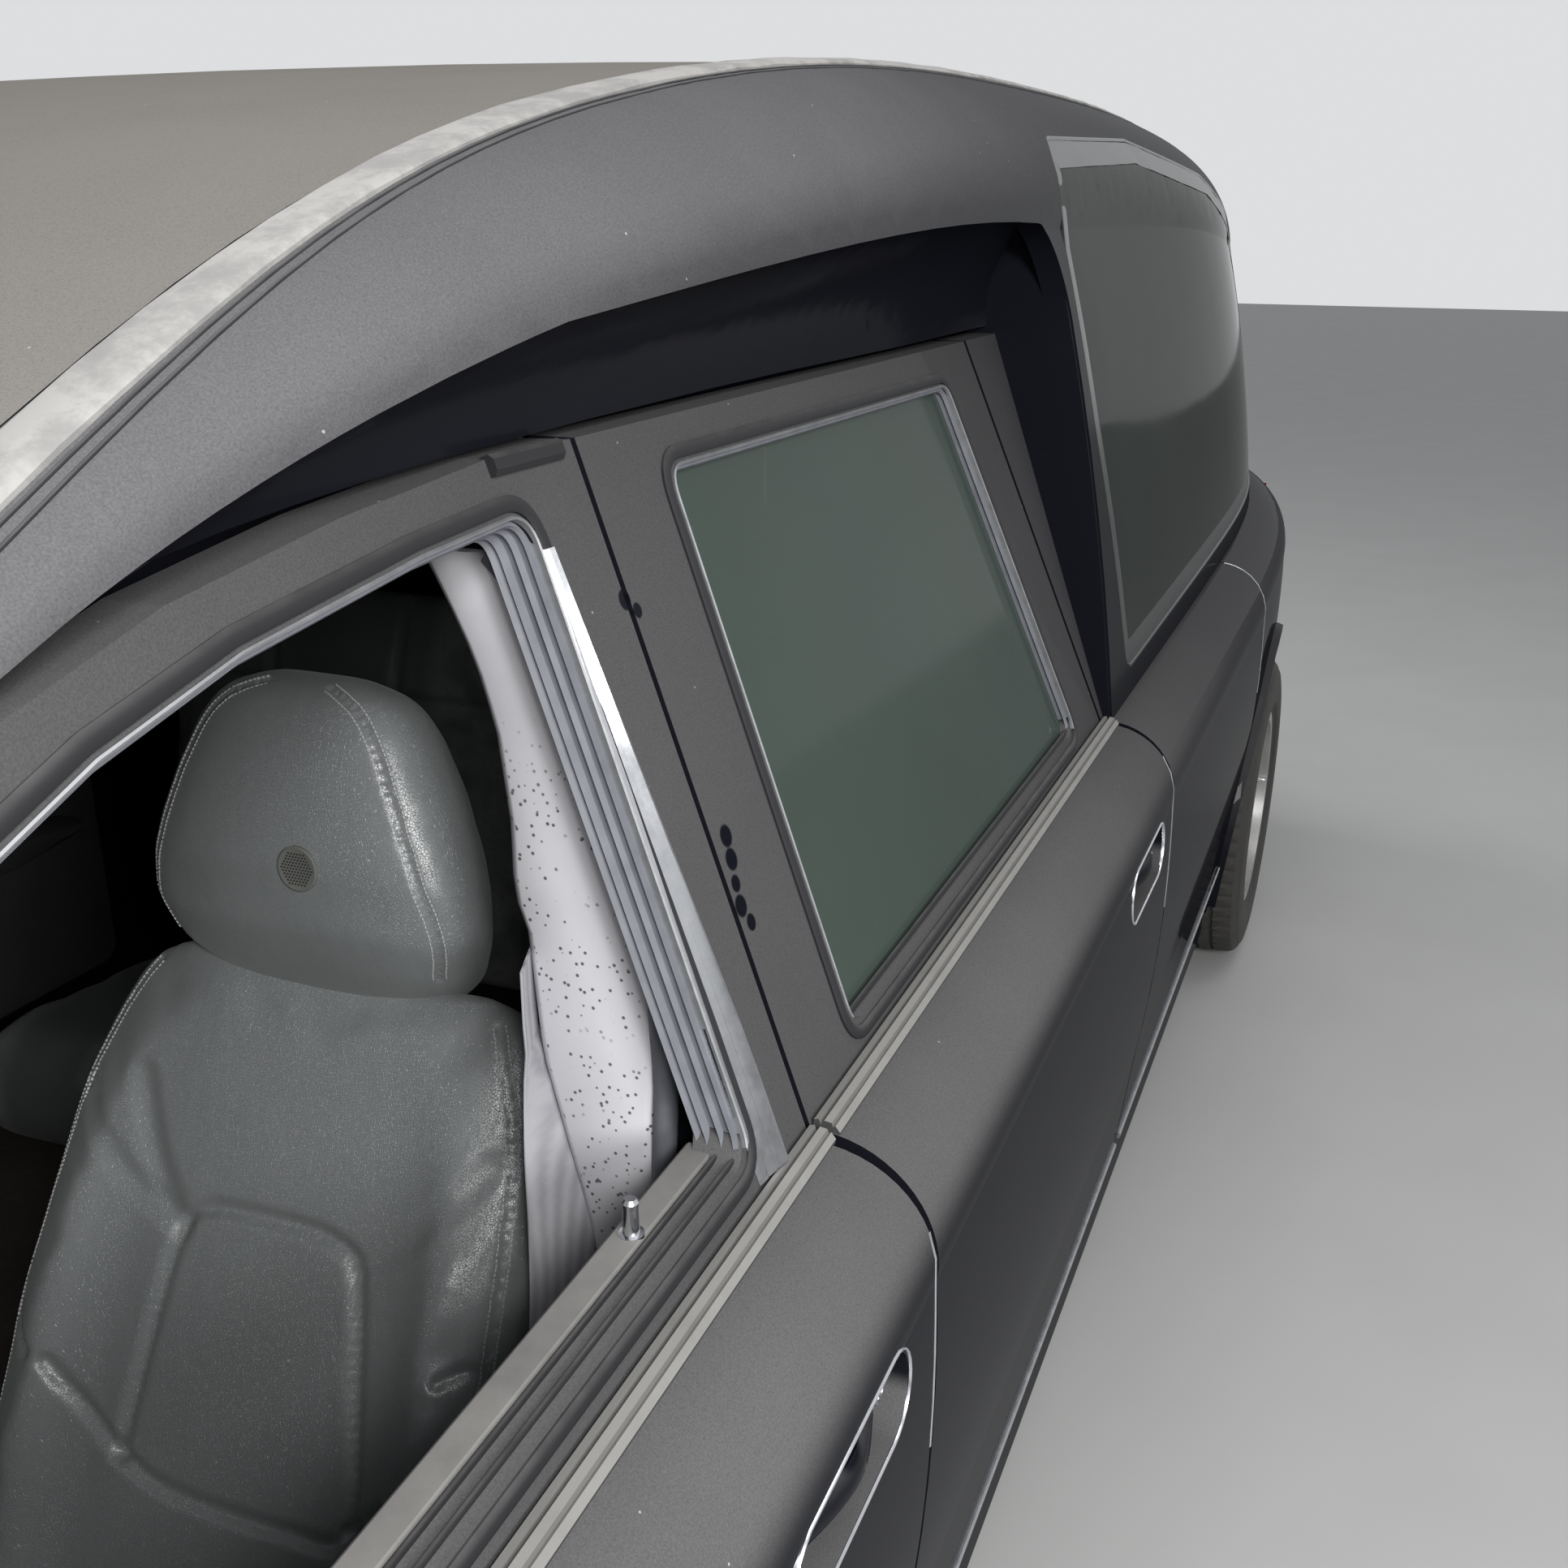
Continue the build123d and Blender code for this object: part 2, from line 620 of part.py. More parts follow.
with BuildPart() as front_wing:
    add(body_side(FRONT_TAPER, WING_BOTTOM_Z, FRONT_WING_INNER_X))
    add(arch(FRONT_AXLE_Y), mode=Mode.SUBTRACT)
    bumper_end = (FRONT_Y - 100, FRONT_BUMPER_SIDE_Y + PANEL_GAP)
    bumper_room = block((400, 1000), bumper_end, (0, FRONT_BUMPER_TOP_Z + 4))
    add(bumper_room, mode=Mode.SUBTRACT)
save("front_wings", both_sides(front_wing.part))

# Bonnet, whose nose is rounded in plan
with BuildPart() as bonnet:
    for y, half, edge_z, crown_z in BONNET_STATIONS:
        under = edge_z - BONNET_THICKNESS
        with BuildSketch(section_plane(y)):
            with BuildLine():
                ThreePointArc((-half, edge_z), (0, crown_z), (half, edge_z))
                Line((half, edge_z), (half, under))
                ThreePointArc((half, under), (0, crown_z - BONNET_THICKNESS), (-half, under))
                Line((-half, under), (-half, edge_z))
            make_face()
    loft()
    nose_y = BONNET_STATIONS[-1][0]
    with BuildSketch(Plane.XY.offset(500)):
        with BuildLine():
            corner_y = nose_y + BONNET_NOSE_BOW
            ThreePointArc((-640, corner_y), (0, nose_y + 2), (640, corner_y))
            Polyline((640, corner_y), (800, FRONT_DOOR_Y), (-800, FRONT_DOOR_Y), (-640, corner_y))
        make_face()
    extrude(amount=700, mode=Mode.INTERSECT)
save("bonnet", bonnet.part)


# Windscreen, lofted upwards from the bowed scuttle line and cut off at the roof's front edge
def screen_side(z):
    """X and Y of the windscreen's side edge at height z."""
    rise = (z - SCREEN_BASE_Z) / (SCREEN_TOP_Z - SCREEN_BASE_Z)
    x = SCREEN_BASE_X + (SCREEN_TOP_X - SCREEN_BASE_X) * rise
    return x, SCREEN_BASE_Y + (SCREEN_TOP_Y - SCREEN_BASE_Y) * rise


with BuildPart() as windscreen:
    for z, bow in ((SCREEN_BASE_Z, SCREEN_BASE_BOW), (SCREEN_TOP_Z + 30, SCREEN_TOP_BOW)):
        x, front = screen_side(z)
        back = front + SCREEN_THICKNESS
        with BuildSketch(Plane.XY.offset(z)):
            with BuildLine():
                ThreePointArc((-x, front), (0, front - bow), (x, front))
                Line((x, front), (x, back))
                ThreePointArc((x, back), (0, back - bow), (-x, back))
                Line((-x, back), (-x, front))
            make_face()
    loft()
    add(block((-800, 800), (SCREEN_TOP_Y, SCREEN_TOP_Y + 300), (900, 1500)), mode=Mode.SUBTRACT)
save("windscreen", windscreen.part)


# Frame of the body: sills, pillars, rails over the doors, scuttle and the lamp panel
def frame_front_y(z):
    """Y of the front edge of the front door's window frame at height z."""
    slope = (FRAME_FRONT_TOP_Y - FRAME_FRONT_FOOT_Y) / (FRAME_FRONT_TOP_Z - BELT_Z)
    return FRAME_FRONT_FOOT_Y + (z - BELT_Z) * slope


def frame_x(z):
    """Outer X of the leaning window frames at height z."""
    return FRAME_FOOT_X - (z - BELT_Z) * FRAME_LEAN


PILLAR_INNER_X = SILL_INNER_X - 34
PILLAR_OUTER_X = DOOR_INNER_X - MOVING_GAP
RAIL_TOP_Z = FRAME_TOP_Z + 7
with BuildPart() as side_frame:
    # windscreen pillar
    for z in (BELT_Z + 1, PILLAR_TOP_Z):
        x, y = screen_side(z)
        rear_y = frame_front_y(z) - MOVING_GAP
        with BuildSketch(Plane.XY.offset(z)):
            with BuildLine():
                Polyline(
                    (x + 5, y + 2),
                    (frame_x(z), rear_y),
                    (frame_x(z) - FRAME_THICKNESS, rear_y),
                    (x - 8, y + 34),
                    close=True,
                )
            make_face()
    loft()
    # pillar foot behind the front wing
    pillar_x = (PILLAR_INNER_X, PILLAR_OUTER_X)
    add(block(pillar_x, (BULKHEAD_Y, FRONT_DOOR_Y + 120), (FLOOR_TOP_Z, BELT_Z - MOVING_GAP)))
    add(block((PILLAR_INNER_X, PILLAR_OUTER_X - 10), (BULKHEAD_Y, BULKHEAD_Y + 30), (900, BELT_Z + 8)))
    # sill
    sill_z = (SILL_BOTTOM_Z, DOOR_BOTTOM_Z - MOVING_GAP)
    add(block((SILL_INNER_X, SILL_X - 8), (FRONT_DOOR_Y - DOOR_GAP, WING_SEAM_Y), sill_z))
    # centre pillar, straight below the belt and leaning above it
    add(block(pillar_x, (B_SEAM_Y - 45, B_SEAM_Y + 45), (FLOOR_TOP_Z, BELT_Z)))
    add(frame_band(B_SEAM_Y - 45, B_SEAM_Y + 45, FRAME_THICKNESS + MOVING_GAP, 36))
    # rail over the doors
    add(
        side_prism(
            [
                (SCREEN_TOP_Y - 8, PILLAR_TOP_Z - 30),
                (SCREEN_TOP_Y, PILLAR_TOP_Z),
                (FRONT_DOOR_Y + 900, RAIL_TOP_Z),
                (RECESS_END_Y - 2, RAIL_TOP_Z),
                (RECESS_END_Y - 2, RAIL_TOP_Z - 30),
                (FRONT_DOOR_Y + 900, RAIL_TOP_Z - 30),
            ],
            FRAME_TOP_X - 94,
            FRAME_TOP_X - 58,
        )
    )
    # jack pads
    for y in JACK_PADS_Y:
        pad_z = (SILL_BOTTOM_Z - JACK_PAD_DEPTH, SILL_BOTTOM_Z)
        pad_x = (SILL_INNER_X + 25, SILL_INNER_X + 25 + JACK_PAD)
        add(block(pad_x, (y - JACK_PAD / 2, y + JACK_PAD / 2), pad_z))

with BuildPart() as frame:
    add(side_frame.part)
    add(mirror(side_frame.part, about=Plane.YZ))
    # header over the windscreen
    header_half = SCREEN_TOP_X + 10
    header_y = (SCREEN_TOP_Y - 14, SCREEN_TOP_Y + 8)
    add(block((-header_half, header_half), header_y, (PILLAR_TOP_Z - 30, PILLAR_TOP_Z)))
    # bulkhead and scuttle
    bulkhead_y = (BULKHEAD_Y - BULKHEAD_THICKNESS, BULKHEAD_Y)
    add(block((-PILLAR_INNER_X - 5, PILLAR_INNER_X + 5), bulkhead_y, (FLOOR_Z, SCUTTLE_Z)))
    add(block((-700, 700), (BONNET_REAR_Y + MOVING_GAP, BULKHEAD_Y), (SCUTTLE_Z - 25, SCUTTLE_Z)))
    # lengthwise rails and the panel that carries the lamps
    for side in (-1, 1):
        rail = sorted((side * 430, side * 488))
        add(block(rail, (FRONT_Y + 160, BULKHEAD_Y - BULKHEAD_THICKNESS), (300, 385)))
    add(block((-560, 560), (FRONT_Y + 140, FRONT_Y + 180), (300, LAMP_BOTTOM_Z)))
    add(block((-560, 560), (FRONT_Y + 100, FRONT_Y + 180), (LAMP_BOTTOM_Z - 16, LAMP_BOTTOM_Z)))
save("body_frame", frame.part)

# Floor, inner wheel arches, rear panel
with BuildPart() as floor:
    add(block((-SILL_INNER_X, SILL_INNER_X), (BULKHEAD_Y, FLOOR_END_Y), (FLOOR_Z, FLOOR_TOP_Z)))
    for side in (-1, 1):
        well = sorted((side * REAR_WELL_X, side * 1000))
        well_y = (REAR_AXLE_Y - WHEELHOUSE_R - WHEELHOUSE_WALL, REAR_Y)
        add(block(well, well_y, (0, 400)), mode=Mode.SUBTRACT)
    add(block((-560, 560), (AXLE_OPENING_Y, REAR_AXLE_Y + 170), (0, 400)), mode=Mode.SUBTRACT)
    add(block((-560, 560), (FLOOR_END_Y, FLOOR_END_Y + 20), (FLOOR_Z, 731)))
save("floor", floor.part)


def wheelhouse(y, x_inner, x_outer, slot_top):
    """A left-hand inner wheel arch: half a drum, closed on its inner side, with a slot for the axle."""
    with BuildPart() as house:
        add(axle_cylinder(y, TYRE_R, WHEELHOUSE_R + WHEELHOUSE_WALL, x_inner, x_outer))
        add(axle_cylinder(y, TYRE_R, WHEELHOUSE_R, x_inner + WHEELHOUSE_WALL, x_outer), mode=Mode.SUBTRACT)
        add(block((0, 1000), (y - 500, y + 500), (-200, FLOOR_TOP_Z)), mode=Mode.SUBTRACT)
        add(block((0, 1000), (y - 60, y + 60), (0, slot_top)), mode=Mode.SUBTRACT)
    return house.part


with BuildPart() as wheelhouses:
    add(wheelhouse(FRONT_AXLE_Y, STEERED_CLEAR_X - 8, FRONT_WING_INNER_X - 44, 470))
    add(wheelhouse(REAR_AXLE_Y, REAR_WELL_X, DOOR_INNER_X - 50, 390))
save("wheelhouses", both_sides(wheelhouses.part))

# Bumpers wrap round the corners
with BuildPart() as front_bumper:
    with BuildSketch(Plane.XY.offset(FRONT_BUMPER_BOTTOM_Z)):
        with BuildLine():
            ThreePointArc((816, FRONT_BUMPER_SIDE_Y), (764, FRONT_Y + 210), (640, FRONT_CORNER_Y))
            ThreePointArc((640, FRONT_CORNER_Y), (0, FRONT_Y), (-640, FRONT_CORNER_Y))
            ThreePointArc((-640, FRONT_CORNER_Y), (-764, FRONT_Y + 210), (-816, FRONT_BUMPER_SIDE_Y))
            Polyline(
                (-816, FRONT_BUMPER_SIDE_Y),
                (-756, FRONT_BUMPER_SIDE_Y),
                (-700, FRONT_Y + 220),
                (-570, FRONT_Y + 130),
                (570, FRONT_Y + 130),
                (700, FRONT_Y + 220),
                (756, FRONT_BUMPER_SIDE_Y),
                (816, FRONT_BUMPER_SIDE_Y),
            )
        make_face()
    extrude(amount=FRONT_BUMPER_TOP_Z - FRONT_BUMPER_BOTTOM_Z)
    with BuildSketch(section_plane(FRONT_Y - 50)):
        with Locations((TOW_X, TOW_Z)):
            Circle(TOW_R)
    extrude(amount=-(50 + 34 + TOW_DEPTH), mode=Mode.SUBTRACT)
save("front_bumper", front_bumper.part)

with BuildPart() as rear_bumper:
    with BuildSketch(Plane.XY.offset(BUMPER_BOTTOM_Z)):
        with BuildLine():
            ThreePointArc((818, REAR_BUMPER_SIDE_Y), (778, REAR_Y - 160), (660, REAR_CORNER_Y))
            ThreePointArc((660, REAR_CORNER_Y), (0, REAR_Y), (-660, REAR_CORNER_Y))
            ThreePointArc((-660, REAR_CORNER_Y), (-778, REAR_Y - 160), (-818, REAR_BUMPER_SIDE_Y))
            Polyline(
                (-818, REAR_BUMPER_SIDE_Y),
                (-748, REAR_BUMPER_SIDE_Y),
                (-710, REAR_Y - 210),
                (-600, REAR_Y - 136),
                (600, REAR_Y - 136),
                (710, REAR_Y - 210),
                (748, REAR_BUMPER_SIDE_Y),
                (818, REAR_BUMPER_SIDE_Y),
            )
        make_face()
    extrude(amount=BUMPER_TOP_Z - BUMPER_BOTTOM_Z)
save("rear_bumper", rear_bumper.part)

# Grille: a frame with upright bars
with BuildPart() as grille:
    add(block((-338, 338), (FRONT_Y + 74, FRONT_Y + 138), (LAMP_BOTTOM_Z, 722)))
    add(block((-318, 318), (FRONT_Y + 60, FRONT_Y + 150), (580, 704)), mode=Mode.SUBTRACT)
    for n in range(-6, 7):
        add(block((n * 46 - 4, n * 46 + 4), (FRONT_Y + 78, FRONT_Y + 108), (580, 704)))
save("grille", grille.part)

# Lamps
headlamp = plan_prism(
    [
        (346, FRONT_Y + 138),
        (346, FRONT_Y + 74),
        (540, FRONT_Y + 100),
        (690, FRONT_Y + 165),
        (742, FRONT_Y + 202),
        (560, FRONT_Y + 202),
    ],
    LAMP_BOTTOM_Z,
    690,
)
save("headlamps", both_sides(headlamp))
tail_lamp = plan_prism(
    [
        (642, REAR_Y - 98),
        (642, REAR_Y - 54),
        (704, REAR_Y - 60),
        (754, REAR_Y - 95),
        (754, REAR_Y - 98),
    ],
    590,
    895,
)
save("tail_lamps", both_sides(tail_lamp))

# Tailgate: the upper part closes the roof shell and holds the window, the lower one stands between the lamps
with BuildPart() as shell_fill:
    for y, crown_z, ridge_x, ridge_z, lip_x, lip_z, foot_x in SHELL_STATIONS[-3:]:
        o = side_points(ridge_x, ridge_z, lip_x, lip_z, foot_x, 0)
        m = [(-px, pz) for px, pz in o]
        with BuildSketch(section_plane(y)):
            with BuildLine():
                ThreePointArc(m[0], (0, crown_z), o[0])
                ThreePointArc(o[0], o[1], o[2])
                ThreePointArc(o[2], o[3], o[4])
                Line(o[4], m[4])
                ThreePointArc(m[4], m[3], m[2])
                ThreePointArc(m[2], m[1], m[0])
            make_face()
    loft()

with BuildPart() as tailgate:
    add(shell_fill.part)
    add(
        side_prism(
            [
                (tail_y(OVER_ROOF_Z) + MOVING_GAP, OVER_ROOF_Z),
                (tail_y(BELT_Z) + MOVING_GAP, BELT_Z),
                (tail_y(BELT_Z) + MOVING_GAP + TAILGATE_THICKNESS, BELT_Z),
                (tail_y(OVER_ROOF_Z) + MOVING_GAP + TAILGATE_THICKNESS, OVER_ROOF_Z),
            ],
            -WAIST_X,
            WAIST_X,
        ),
        mode=Mode.INTERSECT,
    )
    add(
        block(
            (-TAILGATE_HALF, TAILGATE_HALF),
            (tail_y(BELT_Z) + MOVING_GAP, tail_y(BELT_Z) + MOVING_GAP + TAILGATE_THICKNESS),
            (TAILGATE_BOTTOM_Z, BELT_Z),
        )
    )
    with BuildSketch(section_plane(REAR_Y - 400)):
        with BuildLine():
            foot_x, foot_z = TAIL_WINDOW_FOOT
            head_x, head_z = TAIL_WINDOW_HEAD
            Polyline((-foot_x, foot_z), (foot_x, foot_z), (head_x, head_z), (-head_x, head_z), close=True)
        make_face()
    extrude(amount=-600, mode=Mode.SUBTRACT)
save("tailgate", tailgate.part)

with BuildPart() as tail_glass:
    with BuildSketch(section_plane(REAR_Y - 400)):
        with BuildLine():
            Polyline((-foot_x, foot_z), (foot_x, foot_z), (head_x, head_z), (-head_x, head_z), close=True)
        make_face()
    extrude(amount=-600)
    glass_front = MOVING_GAP + TAILGATE_THICKNESS - 12
    add(
        side_prism(
            [
                (tail_y(OVER_ROOF_Z) + glass_front, OVER_ROOF_Z),
                (tail_y(UNDER_BELT_Z) + glass_front, UNDER_BELT_Z),
                (tail_y(UNDER_BELT_Z) + glass_front + 6, UNDER_BELT_Z),
                (tail_y(OVER_ROOF_Z) + glass_front + 6, OVER_ROOF_Z),
            ],
            -WAIST_X,
            WAIST_X,
        ),
        mode=Mode.INTERSECT,
    )
save("tailgate_glass", tail_glass.part)

# Load deck and the wall between it and the cabin
deck = plan_prism(
    [
        (-755, PARTITION_Y + PARTITION_THICKNESS),
        (755, PARTITION_Y + PARTITION_THICKNESS),
        (750, WING_SEAM_Y + 30),
        (728, REAR_Y - 650),
        (672, REAR_Y - 280),
        (628, REAR_Y - 145),
        (-628, REAR_Y - 145),
        (-672, REAR_Y - 280),
        (-728, REAR_Y - 650),
        (-750, WING_SEAM_Y + 30),
    ],
    DECK_Z - DECK_THICKNESS,
    DECK_Z,
)
save("load_deck", deck)

with BuildPart() as partition:
    with BuildSketch(section_plane(PARTITION_Y)):
        with BuildLine():
            Polyline(
                (735, FLOOR_TOP_Z),
                (735, 925),
                (650, 1290),
                (610, 1470),
                (480, 1600),
                (-480, 1600),
                (-610, 1470),
                (-650, 1290),
                (-735, 925),
                (-735, FLOOR_TOP_Z),
                close=True,
            )
        make_face()
        with BuildLine():
            Polyline((-560, 960), (560, 960), (500, 1400), (-500, 1400), close=True)
        make_face(mode=Mode.SUBTRACT)
    extrude(amount=-PARTITION_THICKNESS)
save("partition", partition.part)

# Dashboard with the steering column
steering_axis = Vector(0, cos(radians(STEERING_TILT)), sin(radians(STEERING_TILT)))
steering_plane = Plane(origin=STEERING_CENTRE, x_dir=(1, 0, 0), z_dir=tuple(steering_axis))
with BuildPart() as dashboard:
    add(
        side_prism(
            [
                (BULKHEAD_Y + 1, 700),
                (BULKHEAD_Y + 1, 950),
                (BULKHEAD_Y + 126, 985),
                (BULKHEAD_Y + 296, 945),
                (BULKHEAD_Y + 318, 820),
                (BULKHEAD_Y + 216, 700),
            ],
            -694,
            694,
        )
    )
    with BuildSketch(steering_plane.offset(-30)):
        Circle(34)
    extrude(amount=-190)
save("dashboard", dashboard.part)

with BuildPart() as steering_wheel:
    across = Vector(0, -sin(radians(STEERING_TILT)), cos(radians(STEERING_TILT)))
    with BuildSketch(Plane(origin=STEERING_CENTRE, x_dir=(1, 0, 0), z_dir=tuple(across))):
        with Locations((STEERING_R, 0)):
            Circle(STEERING_GRIP_R)
    revolve(axis=Axis(STEERING_CENTRE, tuple(steering_axis)))
    with BuildSketch(steering_plane.offset(-22)):
        Circle(62)
    extrude(amount=30)
    with BuildSketch(steering_plane.offset(-12)):
        for turn in (0, 180, 270):
            with Locations(Rotation(0, 0, turn)):
                with Locations((STEERING_R / 2, 0)):
                    Rectangle(STEERING_R - 8, 34)
    extrude(amount=16)
save("steering_wheel", steering_wheel.part)

# Front seats, which stand on the floor, and the rear bench
left_edge, right_edge = SEAT_X - SEAT_WIDTH / 2, SEAT_X + SEAT_WIDTH / 2
cushion = side_prism(
    [
        (SEAT_BACK_FOOT_Y - 480, FLOOR_TOP_Z),
        (SEAT_BACK_FOOT_Y - 490, 440),
        (SEAT_BACK_FOOT_Y - 425, 472),
        (SEAT_BACK_FOOT_Y, 440),
        (SEAT_BACK_FOOT_Y, FLOOR_TOP_Z),
    ],
    left_edge,
    right_edge,
)
save("front_seat_cushions", both_sides(cushion))
seat_back = side_prism(
    [
        (SEAT_BACK_FOOT_Y, FLOOR_TOP_Z),
        (SEAT_BACK_FOOT_Y, 452),
        (SEAT_BACK_FOOT_Y + 253, 965),
        (SEAT_BACK_FOOT_Y + 353, 920),
        (SEAT_BACK_FOOT_Y + 145, 440),
        (SEAT_BACK_FOOT_Y + 145, FLOOR_TOP_Z),
    ],
    left_edge,
    right_edge,
)
save("front_seat_backs", both_sides(seat_back))
headrest = side_prism(
    [
        (SEAT_BACK_FOOT_Y + 265, 959.6),
        (SEAT_BACK_FOOT_Y + 219, 1060),
        (SEAT_BACK_FOOT_Y + 257, 1212),
        (SEAT_BACK_FOOT_Y + 349, 1204),
        (SEAT_BACK_FOOT_Y + 343, 924.5),
    ],
    SEAT_X - HEADREST_WIDTH / 2,
    SEAT_X + HEADREST_WIDTH / 2,
)
save("headrests", both_sides(headrest))

bench_cushion = side_prism(
    [
        (BENCH_BACK_FOOT_Y - 410, FLOOR_TOP_Z),
        (BENCH_BACK_FOOT_Y - 420, 430),
        (BENCH_BACK_FOOT_Y - 360, 456),
        (BENCH_BACK_FOOT_Y, 425),
        (BENCH_BACK_FOOT_Y, FLOOR_TOP_Z),
    ],
    -BENCH_HALF,
    BENCH_HALF,
)
save("rear_bench_cushion", bench_cushion)
bench_back = side_prism(
    [
        (BENCH_BACK_FOOT_Y, FLOOR_TOP_Z),
        (BENCH_BACK_FOOT_Y, 425),
        (BENCH_BACK_FOOT_Y + 105, 1040),
        (BENCH_BACK_FOOT_Y + 170, 1040),
        (PARTITION_Y, 900),
        (PARTITION_Y, FLOOR_TOP_Z),
    ],
    -BENCH_HALF,
    BENCH_HALF,
)
save("rear_bench_back", bench_back)

# Power unit as one block at its real place, exhaust and fuel tank under the floor
save("engine", block((-300, 300), (FRONT_AXLE_Y - 490, FRONT_AXLE_Y + 180), (290, 760)))
exhaust_start = FRONT_AXLE_Y + 260
silencer_y = (REAR_Y - 510, REAR_Y - 160)
with BuildPart() as exhaust:
    with BuildSketch(section_plane(exhaust_start)):
        with Locations((-220, 205)):
            Circle(EXHAUST_R)
    extrude(amount=-(silencer_y[0] + 10 - exhaust_start))
    add(block((-320, -120), silencer_y, (150, FLOOR_Z - 4)))
    with BuildSketch(section_plane(silencer_y[1] - 5)):
        with Locations((-260, 205)):
            Circle(EXHAUST_R)
    extrude(amount=-140)
save("exhaust", exhaust.part)
save("fuel_tank", block((60, 560), (AXLE_OPENING_Y - 450, AXLE_OPENING_Y - 20), (150, FLOOR_Z)))

# Front suspension: a cross member with two arms on each side
with BuildPart() as front_suspension:
    arm_y = (FRONT_AXLE_Y - 22, FRONT_AXLE_Y + 22)
    add(block((-488, 488), (FRONT_AXLE_Y - 50, FRONT_AXLE_Y + 50), (205, 262)))
    for side in (-1, 1):
        add(block(sorted((side * 430, side * (KINGPIN_X + 14))), arm_y, (205, 228)))
        add(block(sorted((side * 430, side * 470)), arm_y, (205, 300)))
    for side in (-1, 1):
        add(block(sorted((side * 440, side * (KINGPIN_X + 14))), arm_y, (424, 444)))
        add(block(sorted((side * 440, side * 488)), arm_y, (385, 444)))
    for side in (-1, 1):
        with BuildSketch(Plane.XY.offset(100)):
            with Locations((side * KINGPIN_X, FRONT_AXLE_Y)):
                Circle(KINGPIN_R + KINGPIN_CLEARANCE)
        extrude(amount=400, mode=Mode.SUBTRACT)
save("front_suspension", front_suspension.part)

# Knuckle with its stub axle, one on each side
with BuildPart() as knuckle:
    add(block((692, 742), (FRONT_AXLE_Y - 40, FRONT_AXLE_Y + 40), (TYRE_R - 60, TYRE_R + 60)))
    add(block((724, 768), (FRONT_AXLE_Y - 26, FRONT_AXLE_Y + 26), (232, 420)))
    add(axle_cylinder(FRONT_AXLE_Y, TYRE_R, STUB_R, 740, WHEEL_X + 50))
    with BuildSketch(Plane.XY.offset(198)):
        with Locations((KINGPIN_X, FRONT_AXLE_Y)):
            Circle(KINGPIN_R)
    extrude(amount=250)
save("knuckle_left", knuckle.part)
save("knuckle_right", mirror(knuckle.part, about=Plane.YZ))

# Rear axle beam with its stub axles
with BuildPart() as rear_axle:
    add(axle_cylinder(REAR_AXLE_Y, TYRE_R, 38, -742, 742))
    add(axle_cylinder(REAR_AXLE_Y, TYRE_R, STUB_R, -(WHEEL_X + 50), WHEEL_X + 50))
    with BuildSketch(Plane.YZ.offset(-90)):
        with Locations((REAR_AXLE_Y, TYRE_R)):
            Circle(110)
    extrude(amount=180)
    for side in (-1, 1):
        link = sorted((side * 430, side * 490))
        add(block(link, (AXLE_OPENING_Y, REAR_AXLE_Y + 30), (TYRE_R - 62, TYRE_R - 20)))
save("rear_axle", rear_axle.part)


def wheel_section(points):
    """A ring round the wheel's axle whose section is given by (X from the wheel's middle, radius) points."""
    with BuildPart() as ring:
        with BuildSketch(Plane.XZ):
            with BuildLine():
                Polyline(*points, close=True)
            make_face()
        revolve(axis=Axis.X)
    return ring.part


def tyre():
    """A tyre about the origin, its axle along X, with a crowned tread and bulged walls."""
    half = TYRE_WIDTH / 2
    with BuildPart() as t:
        with BuildSketch(Plane.XZ):
            with BuildLine():
                ThreePointArc((-half + 26, TYRE_R - 5), (0, TYRE_R), (half - 26, TYRE_R - 5))
                ThreePointArc((half - 26, TYRE_R - 5), (half, 262), (RIM_SEAT_HALF + 8, RIM_LIP_R + 2))
                Polyline(
                    (RIM_SEAT_HALF + 8, RIM_LIP_R + 2),
                    (RIM_SEAT_HALF, RIM_LIP_R + 2),
                    (RIM_SEAT_HALF, RIM_R),
                    (-RIM_SEAT_HALF, RIM_R),
                    (-RIM_SEAT_HALF, RIM_LIP_R + 2),
                    (-RIM_SEAT_HALF - 8, RIM_LIP_R + 2),
                )
                ThreePointArc((-RIM_SEAT_HALF - 8, RIM_LIP_R + 2), (-half, 262), (-half + 26, TYRE_R - 5))
            make_face()
        revolve(axis=Axis.X)
    return t.part


def rim():
    """A rim about the origin with its face towards +X and a ring of round holes through it."""
    inner = RIM_R - RIM_WALL
    face = RIM_SEAT_HALF - 22
    with BuildPart() as r:
        add(
            wheel_section(
                [
                    (-RIM_HALF, inner),
                    (-RIM_HALF, RIM_LIP_R),
                    (-RIM_SEAT_HALF, RIM_LIP_R),
                    (-RIM_SEAT_HALF, RIM_R),
                    (RIM_SEAT_HALF, RIM_R),
                    (RIM_SEAT_HALF, RIM_LIP_R),
                    (RIM_HALF, RIM_LIP_R),
                    (RIM_HALF, inner),
                ]
            )
        )
        add(
            wheel_section(
                [
                    (face - RIM_FACE_THICKNESS, HUB_BORE_R),
                    (face - RIM_FACE_THICKNESS, inner + 2),
                    (face, inner + 2),
                    (face, HUB_BORE_R),
                ]
            )
        )
        add(wheel_section([(0, HUB_BORE_R), (0, HUB_R), (face, HUB_R), (face, HUB_BORE_R)]))
        with BuildSketch(Plane.YZ.offset(-200)):
            with PolarLocations(SPOKE_HOLE_PCR, SPOKE_HOLES):
                Circle(SPOKE_HOLE_R)
        extrude(amount=400, mode=Mode.SUBTRACT)
    return r.part


